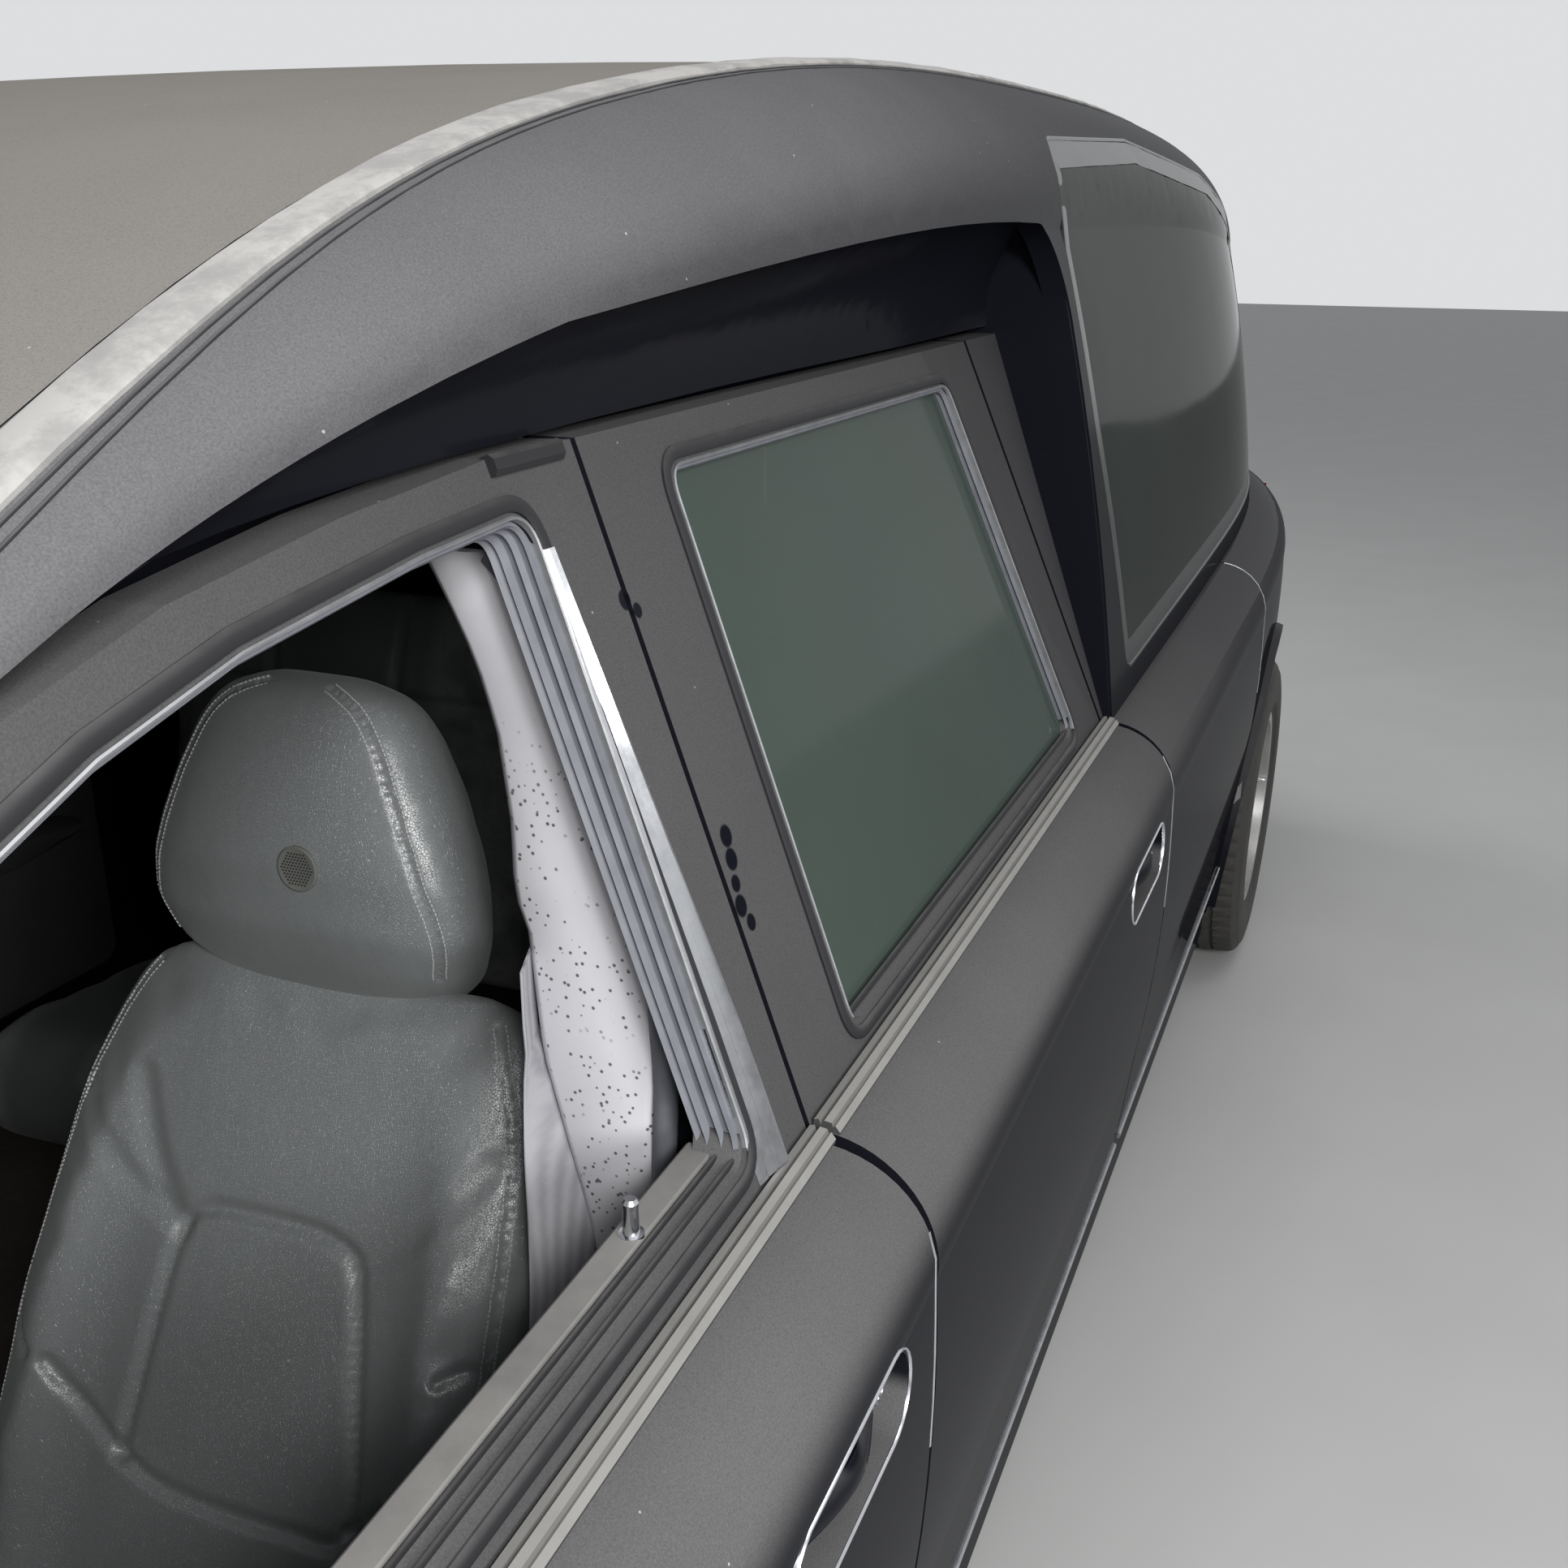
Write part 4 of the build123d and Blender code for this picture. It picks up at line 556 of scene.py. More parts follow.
# Sill mouldings. A thin strip of polished metal runs along the lower edge of the doors and the side
# panel. It is clipped to the skin.
SILL_STRIP_Z = 0.343
for name, y0, y1, body in (
    ("front_sill_strip", DOORS_START_Y + 0.02, SEAM_Y - 0.012, "door_front_"),
    ("rear_sill_strip", SEAM_Y + 0.012, DOORS_END_Y - 0.012, "door_rear_"),
    ("side_sill_strip", DOORS_END_Y + 0.014, 1.560, "root"),
):
    path = from_side(side_skin[body], [(y, SILL_STRIP_Z) for y in run(y0, y1, 0.12)])
    pair(name, sweep(*path, bead(0.009, 0.004)), bright, body)

# Door handles. A pull flap stands in the hollow of each door behind a thin polished surround, with
# the key's lock barrel at the rear end of the front ones.
HANDLE_Z, HANDLE_TO_SEAM, HOLLOW_X = 0.812, 0.160, 0.865
flap_coat = lacquered("handle_paint", (0.11, 0.11, 0.11), 0.5, 0.1, 0.9)


def slot_outline(length, height):
    """A round-ended outline about the origin, as (Y, Z) points."""
    half, r = length / 2 - height / 2, height / 2
    ends = []
    for a in run(-90, 270, 15)[:-1]:
        a = math.radians(a)
        shift = half if math.cos(a) > -1e-6 else -half
        ends.append((r * math.cos(a) + shift, r * math.sin(a)))
    return ends


def turned(profile, centre, axis=(1, 0, 0), sides=24):
    """A solid turned about an axis through centre, from (distance along the axis, radius) points."""
    axis = Vector(axis).normalized()
    across = axis.orthogonal().normalized()
    other = axis.cross(across)
    spin = [2 * math.pi * i / sides for i in range(sides)]
    spokes = [across * math.cos(a) + other * math.sin(a) for a in spin]
    return lofted([[Vector(centre) + axis * far + spoke * r for spoke in spokes] for far, r in profile])


LOCK_BARREL = [
    (0.0, 0.0105), (0.012, 0.0105), (0.0135, 0.0095), (0.0135, 0.0070), (0.0115, 0.0065),
    (0.0112, 0.0012),
]
GRIP = [(-0.014, -0.004), (-0.015, 0.002), (-0.010, 0.006), (0.004, 0.007), (0.012, 0.003), (0.013, -0.004)]
for door, seam in (("front", SEAM_Y), ("rear", DOORS_END_Y)):
    centre = Vector((0, seam - 0.003 - HANDLE_TO_SEAM, HANDLE_Z))
    body = f"door_{door}_"
    hollow = [(centre.y + y, centre.z + z) for y, z in slot_outline(0.206, 0.068)]
    surround = sweep(*from_side(side_skin[body], hollow), bead(0.0020, 0.0016), closed=True)
    pair(f"{door}_handle_surround", surround, bright, body)
    grip_path = []
    for t in run(-1, 0.62, 0.09):
        bow = HOLLOW_X + 0.011 + 0.008 * math.cos(t * math.pi)
        grip_path.append(centre + Vector((bow, 0.085 * t, 0.004)))
    grip = sweep(grip_path, Vector((1, 0, 0)), GRIP)
    pair(f"{door}_handle", grip, flap_coat, body)
    if door == "front":
        barrel = turned(LOCK_BARREL, centre + Vector((HOLLOW_X - 0.001, 0.074, 0.002)))
        pair("lock_barrel", barrel, bright, body)

# Clip at the head of the front door. A short cap, moulded in black rubber, is pushed over the frame and
# closes the end of its seal.
CLIP_Z = 1.391
clip_path = on_frame([(y, CLIP_Z) for y in run(SEAM_Y - 0.100, SEAM_Y - 0.022, 0.02)])
pair("frame_clip", sweep(*clip_path, bead(0.013, 0.006)), seal_coat, "door_front_")

# Window sill of the doors. Two rubber wiper lips run along the slot that the glass comes out of, and a
# dusty flat capping inside them. The polished pin of the door lock stands at its rear end.
SILL_TOP_Z = 0.962
capping_coat = Coat("dusty_capping", Roughness=0.85)
capping_coat.mottled((0.11, 0.107, 0.102), (0.25, 0.244, 0.232), 22.0, 6.0, 0.7)
WIPER_LIP, CAPPING = bead(0.0035, 0.003), bar(0.0105, 0.0010, 0.0085, 0.0026, 0.004)
for door, ends in (
    ("front", (DOORS_START_Y + 0.190, SEAM_Y - 0.090)),
    ("rear", (SEAM_Y + 0.115, DOORS_END_Y - 0.140)),
):
    for side, x in (("inner", 0.764), ("outer", 0.776)):
        wiper = straight(x, SILL_TOP_Z, ends, Vector((0, 0, 1)), WIPER_LIP)
        pair(f"{door}_sill_{side}_wiper", wiper, seal_coat, f"door_{door}_")
for door, ends in (
    ("front", (DOORS_START_Y + 0.175, SEAM_Y - 0.086)),
    ("rear", (SEAM_Y + 0.110, DOORS_END_Y - 0.138)),
):
    capping = straight(0.7505, SILL_TOP_Z, ends, Vector((0, 0, 1)), CAPPING)
    pair(f"{door}_sill_capping", capping, capping_coat, f"door_{door}_")
PIN = [(-0.002, 0.0085), (0.0005, 0.008), (0.001, 0.0052), (0.017, 0.0048), (0.0215, 0.0052), (0.024, 0.0035)]
pin = turned(PIN, (0.752, -0.645, SILL_TOP_Z + 0.0026), (0, 0, 1))
pair("lock_pin", pin, bright, "door_front_")

# Window glass. Toughened panes, tinted grey-green in the doors and the tailgate, near black in the tall
# rear windows, clear in front, all with a film of dust. The tall ones have a black border fired on.
def pane(name, tint, film, gloss=0.08):
    coat = Coat(name, IOR=1.35, Specular_IOR_Level=gloss)
    smear = coat.noise(2.2, 4.0, 0.6)
    coat.feed(
        Base_Color=coat.mix(smear, tint, tuple(c * 1.35 for c in tint)),
        Alpha=smear * 0.10 + film,
        Roughness=smear * 0.10 + 0.03,
    )
    return coat


pane("tinted_glass", (0.056, 0.074, 0.064), 0.72).on(
    "glass_front_right", "glass_rear_left", "glass_rear_right", "tailgate_glass"
)
pane("dark_glass", (0.024, 0.029, 0.026), 0.95, 0.01).on("quarter_windows")
pane("clear_glass", (0.10, 0.11, 0.10), 0.20).on("windscreen")
quarter_skin = surface_of("quarter_windows")
PANELS_END_Y, TAIL_Y = 1.570, 2.900
QUARTER_OPENING = [
    (DOORS_END_Y + 0.116, 0.968), (DOORS_END_Y + 0.054, 1.290), (DOORS_END_Y + 0.044, 1.612),
    (PANELS_END_Y - 0.370, 1.634), (PANELS_END_Y + 0.330, 1.600), (TAIL_Y - 0.650, 1.540),
    (TAIL_Y - 0.460, 1.420), (TAIL_Y - 0.370, 1.060), (TAIL_Y - 0.430, 0.968),
]
border_coat = Coat("fired_border", Roughness=0.25)
border_coat.mottled((0.008, 0.009, 0.009), (0.026, 0.028, 0.028), 30.0, 4.0)
for name, inwards, width, height in (("border", 0.019, 0.034, 0.0006), ("seal", 0.0015, 0.006, 0.0022)):
    path = from_side(quarter_skin, outline(QUARTER_OPENING, 0.045, -inwards))
    ring = sweep(*path, bead(width, height, 0.0005), closed=True)
    pair(f"quarter_window_{name}", ring, border_coat, "root")

# Lamps. Clear lenses in front and red ones behind, moulded with fine flutes, upright in front and
# level behind, and fixed in the wings.
for name, node, gloss, direction, scale, dark, light in (
    ("clear_lens", "headlamps", 0.08, "X", 22.0, (0.24, 0.25, 0.26), (0.44, 0.455, 0.47)),
    ("red_lens", "tail_lamps", 0.10, "Z", 12.0, (0.22, 0.006, 0.006), (0.38, 0.016, 0.014)),
):
    moulded = Coat(name, Roughness=gloss, IOR=1.5)
    flutes = moulded.waves(direction, scale)
    moulded.feed(Base_Color=moulded.mix(flutes, dark, light)).bump(flutes, 0.001).on(node)

# Wheels. Cast alloy rims with a ring of round holes, dulled by brake dust, each held by five nuts
# round a domed cap. The tyres are grooved black rubber, browned and greyed.
alloy = Coat("wheel_alloy", Metallic=0.85)
alloy.mottled((0.30, 0.29, 0.27), (0.62, 0.62, 0.62), 18.0, 5.0, 0.65, rough=(0.5, 0.25))
alloy.on("rim_front_left", "rim_front_right", "rim_rear_left", "rim_rear_right")
rubber = Coat("tyre_rubber")
rubber.mottled((0.012, 0.012, 0.012), (0.060, 0.057, 0.052), 14.0, 6.0, 0.7, rough=(0.68, 0.88))
rubber.bump(rubber.noise(220.0, 3.0), 0.0006)
TYRE_R, TREAD_HALF = 0.325, 0.0765
GROOVES_X, GROOVE_HALF, GROOVE_DEPTH = (-0.046, -0.016, 0.016, 0.046), 0.0040, 0.007
TREAD_EDGE_X, SHOULDER_X, RIB_X, CUT_DEPTH = 0.062, 0.051, 0.021, 0.005
# X and radius of the tyre's wall, from the rim to the tread
WALL = [
    (0.084, 0.197), (0.084, 0.210), (0.092, 0.2105), (0.0965, 0.222), (0.0985, 0.2235), (0.0990, 0.228),
    (0.1005, 0.2300), (0.1020, 0.245), (0.1025, 0.262), (0.1015, 0.280), (0.0985, 0.296), (0.0972, 0.2985),
    (0.0960, 0.2990), (0.0925, 0.3080), (0.0860, 0.3160),
]
TREAD_PITCHES, STEPS_A_PITCH = 64, 4


def tyre_form(centre):
    """A tyre with four grooves round it, cross cuts in its shoulders and rings on its walls."""
    across = [-TREAD_HALF, -TREAD_EDGE_X, TREAD_EDGE_X, TREAD_HALF]
    for x in GROOVES_X:
        across += [x - GROOVE_HALF, x - GROOVE_HALF + 0.0012, x + GROOVE_HALF - 0.0012, x + GROOVE_HALF]
    across.sort()
    rings = []
    steps = TREAD_PITCHES * STEPS_A_PITCH
    for i in range(steps):
        turn = 2 * math.pi * i / steps
        beat = i % STEPS_A_PITCH
        profile = [(-x, r) for x, r in WALL]
        for x in across:
            crown = TYRE_R - 0.005 * (x / TREAD_HALF) ** 2
            in_groove = any(abs(x - g) < GROOVE_HALF - 0.0005 for g in GROOVES_X)
            on_shoulder = abs(x) > SHOULDER_X
            cut = (on_shoulder and beat == 0) or (not on_shoulder and abs(x) > RIB_X and beat == 2)
            profile.append((x, crown - (GROOVE_DEPTH if in_groove else CUT_DEPTH if cut else 0)))
        profile += [(x, r) for x, r in reversed(WALL)]
        spoke = Vector((0, math.cos(turn), math.sin(turn)))
        rings.append([centre + Vector((x, 0, 0)) + spoke * r for x, r in profile])
    return lofted(rings, closed=True)


def whole(*shapes):
    """Several bmeshes as one."""
    together = bmesh.new()
    for shape in shapes:
        part = bpy.data.meshes.new("part")
        shape.to_mesh(part)
        shape.free()
        together.from_mesh(part)
        bpy.data.meshes.remove(part)
    return together


CAP = [(-0.010, 0.034), (0.001, 0.034), (0.004, 0.031), (0.007, 0.020), (0.008, 0.004)]
NUT = [(-0.002, 0.0125), (0.001, 0.0125), (0.0015, 0.0105), (0.013, 0.0105), (0.016, 0.008), (0.017, 0.003)]
VALVE = [(-0.006, 0.004), (0.016, 0.0035), (0.022, 0.003), (0.024, 0.002)]
NUT_RING, NUTS, RIM_FACE, VALVE_RING = 0.050, 5, 0.062, 0.178
for wheel in ("front_left", "front_right", "rear_left", "rear_right"):
    low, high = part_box("tyre_" + wheel)
    centre = (low + high) / 2
    side = 1 if centre.x > 0 else -1
    tyre = piece("tread_tyre_" + wheel, tyre_form(centre), rubber, "wheel_" + wheel, 28)
    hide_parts("tyre_" + wheel)
    face = centre + Vector((side * RIM_FACE, 0, 0))
    way = (side, 0, 0)
    nuts = [turned(CAP, face, way, 32)]
    for i in range(NUTS):
        turn = 2 * math.pi * (i + 0.5) / NUTS
        spot = face + Vector((0, math.cos(turn), math.sin(turn))) * NUT_RING
        nuts.append(turned(NUT, spot, way, 6))
    nuts.append(turned(VALVE, face + Vector((side * 0.004, VALVE_RING, 0)), way, 10))
    piece("wheel_nuts_" + wheel, whole(*nuts), bright, "wheel_" + wheel, 28)

# Wheel arch lips. The edges of the pressed steel wings are rolled outwards over the tyres, under the
# same paint.
wing_skin = {"front": surface_of("front_wings"), "rear": surface_of("rear_wings")}
ARCH_R = 0.391
LIP = [(-0.006, -0.003), (-0.007, 0.004), (-0.003, 0.013), (0.003, 0.014), (0.006, 0.004), (0.007, -0.003)]
for end, skin in wing_skin.items():
    low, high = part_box(f"tyre_{end}_left")
    hub = (low + high) / 2
    arcs = [math.radians(a) for a in run(-12, 192, 4)]
    path = from_side(skin, [(hub.y + ARCH_R * math.cos(a), hub.z + ARCH_R * math.sin(a)) for a in arcs])
    pair(f"{end}_arch_lip", sweep(*path, LIP), paint, "root")

# Centre pillar trim. A moulded pale lining wraps the pillar inside. It is spotted with mould, and
# the door's blue-grey seal runs up its outer edge.
trim_coat = Coat("pale_lining", Roughness=0.6)
low_down = 1 - trim_coat.along(2).rise(1.16, 1.25)
mould = trim_coat.specks(160.0, 0.24) * trim_coat.noise(24.0, 3.0).rise(0.40, 0.52) * low_down
stain = trim_coat.noise(9.0, 4.0)
clean = trim_coat.mix(stain, (0.60, 0.59, 0.62), (0.72, 0.71, 0.74))
trim_coat.feed(Base_Color=trim_coat.mix(mould, clean, (0.13, 0.125, 0.12)))
LINING_FRONT_Y, LINING_REAR_Y, SEAL_R = -0.516, -0.412, 0.0085
# height, inner X and outer X of the lining
LINING = [
    (0.780, 0.652, 0.690), (0.862, 0.640, 0.696), (0.984, 0.610, 0.702), (1.080, 0.603, 0.696),
    (1.100, 0.594, 0.692), (1.150, 0.595, 0.682), (1.215, 0.588, 0.662), (1.260, 0.575, 0.642),
    (1.300, 0.556, 0.620), (1.330, 0.540, 0.590),
]


def between(table, key):
    """The other columns of a table at a value of its first one, on straight lines between the rows."""
    for first, second in zip(table, table[1:]):
        if key <= second[0]:
            share = max(0.0, (key - first[0]) / (second[0] - first[0]))
            return [a + (b - a) * share for a, b in zip(first[1:], second[1:])]
    return list(table[-1][1:])


lining_rings, seal_line = [], []
for z in run(LINING[0][0], LINING[-1][0], 0.02):
    x0, x1 = between(LINING, z)
    corners = [
        (x0, LINING_REAR_Y), (x0, -0.500), (x0 + 0.004, -0.510), (x0 + 0.012, LINING_FRONT_Y),
        (x1 - 0.008, LINING_FRONT_Y), (x1 - 0.002, -0.512), (x1, -0.505), (x1, LINING_REAR_Y),
    ]
    lining_rings.append([Vector((x, y, z)) for x, y in corners])
    seal_line.append(Vector((x1 + 0.008, -0.512, z)))
pair("pillar_lining", lofted(lining_rings), trim_coat, "root", 50)
spin = [math.radians(a) for a in range(0, 360, 30)]
tube = [(SEAL_R * math.cos(a), SEAL_R * math.sin(a)) for a in spin]
pair("door_seal", sweep(seal_line, Vector((0, -1, 0)), tube), channel_coat, "root")

# Seat belt. Grey woven webbing hangs from the pillar along the outer side of the seat. Its face
# turns from the door to the front on its way down.
webbing_coat = Coat("belt_webbing", Roughness=0.8)
twill = webbing_coat.waves("X", 45.0)
webbing_coat.feed(Base_Color=webbing_coat.mix(twill, (0.33, 0.325, 0.345), (0.42, 0.415, 0.435)))
webbing_coat.bump(twill, 0.0005)
# X, Y and Z of the webbing's middle
BELT_LINE = [
    (0.612, -0.521, 1.060), (0.613, -0.522, 1.000), (0.620, -0.522, 0.935), (0.629, -0.524, 0.860),
    (0.632, -0.532, 0.791), (0.634, -0.550, 0.715), (0.640, -0.590, 0.610), (0.648, -0.625, 0.500),
    (0.655, -0.645, 0.400), (0.658, -0.650, 0.300),
]


def smooth_line(points, step):
    """Points about step apart on a smooth curve through the given ones."""
    points = [Vector(p) for p in points]
    ends = [points[0] * 2 - points[1], *points, points[-1] * 2 - points[-2]]
    line = []
    for a, b, c, d in zip(ends, ends[1:], ends[2:], ends[3:]):
        count = max(1, round((c - b).length / step))
        bend, rest = a * 2 - b * 5 + c * 4 - d, b * 3 - a - c * 3 + d
        for i in range(count):
            t = i / count
            line.append((b * 2 + (c - a) * t + bend * t**2 + rest * t**3) / 2)
    return line + [points[-1]]


belt_line = smooth_line(BELT_LINE, 0.02)
STRAP = [(-0.023, -0.0008), (-0.0235, 0), (-0.023, 0.0008), (0.023, 0.0008), (0.0235, 0), (0.023, -0.0008)]
TURN_FROM_Z, TURN_OVER = 1.00, 0.20
belt_outs = []
for place in belt_line:
    turn = math.radians(22 - 90 * min(1.0, max(0.0, (TURN_FROM_Z - place.z) / TURN_OVER)))
    belt_outs.append(Vector((math.cos(turn), math.sin(turn), 0)))
pair("belt_webbing", sweep(belt_line, belt_outs, STRAP), webbing_coat, "root")

# Dark plastics. The dashboard, steering wheel, mirror housings and fuel tank are moulded with a fine
# grain and have greyed with age.
plastic = Coat("grained_plastic")
plastic.mottled((0.012, 0.012, 0.013), (0.034, 0.033, 0.032), 9.0, 4.0, rough=(0.42, 0.67))
plastic.bump(plastic.cells(900.0), 0.0004)
plastic.on("dashboard", "steering_wheel", "mirror_left", "mirror_right", "fuel_tank")

# Chassis parts. The floor, wheel arches, exhaust, suspension and axle are steel under black wax. The
# engine and the steered knuckles are raw castings.
wax = Coat("underbody_wax")
wax.mottled((0.018, 0.017, 0.016), (0.075, 0.065, 0.055), 7.0, 6.0, 0.7)
wax.feed(Roughness=wax.noise(12.0, 5.0) * 0.3 + 0.5).bump(wax.noise(90.0, 4.0), 0.0015)
wax.on("floor", "wheelhouses", "exhaust", "front_suspension", "rear_axle")
cast = Coat("raw_casting", Metallic=0.6)
cast.mottled((0.09, 0.085, 0.08), (0.16, 0.12, 0.09), 16.0, 6.0, 0.7)
cast.feed(Roughness=cast.noise(30.0, 4.0) * 0.3 + 0.5).bump(cast.noise(240.0, 4.0), 0.0008)
cast.on("engine", "knuckle_left", "knuckle_right")

# Partition and deck behind the seats. The upright wall is lined with glued felt. The deck is made of
# varnished boards, with their grain along the car.
felt = Coat("lining_felt", Roughness=0.95)
felt.mottled((0.030, 0.030, 0.032), (0.060, 0.060, 0.062), 300.0, 2.0).on("partition")
wood = Coat("deck_wood", Roughness=0.4)
rings = wood.noise(6.0, 5.0, 0.6, stretch=(9, 0.6, 9))
wood.feed(Base_Color=wood.mix(rings, (0.09, 0.045, 0.022), (0.24, 0.13, 0.065)))
wood.on("load_deck")

# Front seats. Foam pads in black leather that has gone grey-green and creased. The bolsters are painted
# lighter and glossier, partly wear and partly a painted highlight. The covers are sewn along the
# bolsters and round a sunk panel in the small of the back.
SEAT_X = 0.372
leather = Coat("black_leather", Sheen_Weight=0.10, Sheen_Roughness=0.4, Specular_IOR_Level=0.75)
tone = leather.noise(5.0, 5.0, 0.6)
grain = leather.cells(520.0, "DISTANCE_TO_EDGE").rise(0.0, 0.09)
wrinkles = abs(leather.noise(24.0, 4.0, 0.55, stretch=(1.0, 0.4, 0.4)) - 0.5).rise(0.0, 0.12)
# bolsters lighter and less rough: partly wear, partly a painted highlight
worn_and_highlight = abs(abs(leather.along(0)) - SEAT_X).rise(0.19, 0.235) * leather.noise(16.0, 4.0).rise(0.30, 0.60)
aged = leather.mix(tone, (0.105, 0.112, 0.113), (0.160, 0.168, 0.168))
leather.feed(
    Base_Color=leather.mix(worn_and_highlight * 0.7, aged, (0.30, 0.305, 0.305)),
    Roughness=0.34 - worn_and_highlight * 0.12 + tone * 0.1,
)
leather.bump(grain * 0.6 + wrinkles * 0.4, 0.0008, 0.5)
thread_coat = Coat("grey_thread", Roughness=0.7)
thread_coat.mottled((0.24, 0.24, 0.24), (0.38, 0.38, 0.37), 400.0, 2.0)


def pad_ring(half, deep, lean, sides=44, squareness=0.55, wing=0.0):
    """One slice of a pad as (across, forward) points: flat in front, round at the sides, wings forward."""
    ring = []
    for i in range(sides):
        a = 2 * math.pi * i / sides
        c, s = math.cos(a), math.sin(a)
        u = math.copysign(abs(c) ** squareness, c)
        f = math.copysign(abs(s) ** 0.75, s)
        bolster = wing * max(0.0, 1 - ((abs(u) - 0.84) / 0.26) ** 2) if f > 0 else 0.0
        ring.append((half * u, -deep / 2 + deep / 2 * f + bolster + lean))
    return ring


def settled(name, shape, voxel, cap):
    """A foam pad in its cover: its form remeshed, blown up by a cloth simulation and made smooth."""
    bmesh.ops.recalc_face_normals(shape, faces=shape.faces)
    mesh = bpy.data.meshes.new(name)
    shape.to_mesh(mesh)
    shape.free()
    pad = bpy.data.objects.new(name, mesh)
    bpy.context.scene.collection.objects.link(pad)

    def apply_modifiers():
        bpy.context.view_layer.update()
        shown = pad.evaluated_get(bpy.context.evaluated_depsgraph_get())
        pressed = bpy.data.meshes.new_from_object(shown)
        pad.modifiers.clear()
        pad.data = pressed

    skin = pad.modifiers.new("skin", "REMESH")
    skin.mode = "VOXEL"
    skin.voxel_size = voxel
    relax = pad.modifiers.new("relax", "SMOOTH")
    relax.iterations = 3
    apply_modifiers()
    start = [v.co.copy() for v in pad.data.vertices]
    cover = pad.modifiers.new("cover", "CLOTH")
    cover.collision_settings.use_collision = False
    cloth = cover.settings
    cloth.quality = 4
    cloth.mass = 0.4
    cloth.tension_stiffness = 12
    cloth.compression_stiffness = 12
    cloth.bending_stiffness = 2.0
    cloth.use_pressure = True
    cloth.uniform_pressure_force = 4
    cloth.effector_weights.gravity = 0
    for step in range(1, 21):
        bpy.context.scene.frame_set(step)
    apply_modifiers()
    bpy.context.scene.frame_set(1)
    for vertex, first in zip(pad.data.vertices, start):
        move = vertex.co - first
        if move.length > cap:
            vertex.co = first + move * (cap / move.length)
    pad.data.update()
    calm = pad.modifiers.new("calm", "SMOOTH")
    calm.iterations = 4
    finer = pad.modifiers.new("finer", "SUBSURF")
    finer.levels = 1
    apply_modifiers()
    pad.data.shade_smooth()
    return pad


def skin_of(mesh):
    """A search tree over a mesh."""
    return BVHTree.FromPolygons([v.co for v in mesh.vertices], [p.vertices for p in mesh.polygons])


def on_pad(pad, line, step=0.008):
    """A smooth line through the given points, drawn onto the pad, and the way out of the pad along it."""
    tree = skin_of(pad.data)
    places, outs = zip(*[tree.find_nearest(point)[:2] for point in smooth_line(line, step)])
    calm = [sum(outs[max(0, i - 4) : i + 5], Vector()).normalized() for i in range(len(outs))]
    return list(places), calm


def pulled_in(pad, path, width, depth):
    """Sinks the cover along a line, as a seam or a crease does."""
    tree = KDTree(len(path))
    for i, place in enumerate(path):
        tree.insert(place, i)
    tree.balance()
    normals = [v.normal.copy() for v in pad.data.vertices]
    for vertex, normal in zip(pad.data.vertices, normals):
        gap = tree.find(vertex.co)[2]
        if gap < width:
            vertex.co -= normal * depth * (1 - (gap / width) ** 2) ** 2
    pad.data.update()


STITCH_HALF, THREAD_HALF, SEAM_GAP, SEAM_WIDTH, SEAM_DEPTH = 0.0012, 0.0005, 0.0048, 0.0050, 0.0030


def stitched(path, outs, offset, pitch=0.0036):
    """A row of short stitches beside a seam."""
    shape = bmesh.new()
    travelled, due = 0.0, 0.0
    for here, after, out in zip(path, path[1:], outs):
        gap = after - here
        along = gap.normalized()
        across = along.cross(out).normalized()
        while due < travelled + gap.length:
            middle = here + along * (due - travelled) + across * offset
            corners = [
                shape.verts.new(middle + along * length + across * width + out * height)
                for length in (-STITCH_HALF, STITCH_HALF)
                for width in (-THREAD_HALF, THREAD_HALF)
                for height in (-0.0012, 0.0006)
            ]
            for face in ((0, 1, 3, 2), (4, 6, 7, 5), (0, 4, 5, 1), (2, 3, 7, 6), (0, 2, 6, 4), (1, 5, 7, 3)):
                shape.faces.new([corners[k] for k in face])
            due += pitch
        travelled += gap.length
    return shape


def dressed(pad, coat, node, seams, creases):
    """Sews a pad, covers it, makes its mirror image and hides the CAD node that both replace. A crease is a
    line, its width and its depth."""
    rows = []
    for line in seams:
        path, outs = on_pad(pad, line)
        rows += [stitched(path, outs, offset) for offset in (-SEAM_GAP, SEAM_GAP)]
        pulled_in(pad, path, SEAM_WIDTH, SEAM_DEPTH)
    for line, width, depth in creases:
        pulled_in(pad, on_pad(pad, line)[0], width, depth)
    form = bmesh.new()
    form.from_mesh(pad.data)
    name = pad.name
    bpy.data.objects.remove(pad)
    covers = pair(name, form, coat, "root", 60)
    for cover in covers:
        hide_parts(node)
    pair(name + "_stitches", whole(*rows), thread_coat, "root")


# The back leans 26 degrees. Places on it are given as (X, way up the back, way out of it).
BACK_FOOT = Vector((0, -0.705, 0.467))
BACK_UP, BACK_OUT = Vector((0, 0.4423, 0.8969)), Vector((0, -0.8969, 0.4423))
# way up the back, half width, thickness, how far the bolsters stand forward
BACK_ROWS = [
    (-0.030, 0.200, 0.060, 0.000), (-0.015, 0.226, 0.100, 0.010), (0.030, 0.236, 0.120, 0.030),
    (0.150, 0.240, 0.120, 0.036), (0.260, 0.241, 0.112, 0.034), (0.360, 0.234, 0.104, 0.026),
    (0.440, 0.230, 0.096, 0.016), (0.500, 0.219, 0.086, 0.008), (0.540, 0.204, 0.074, 0.003),
    (0.564, 0.184, 0.056, 0.000), (0.576, 0.150, 0.030, 0.000),
]


def on_back(x, rise, out=0.0):
    return BACK_FOOT + Vector((x, 0, 0)) + BACK_UP * rise + BACK_OUT * out


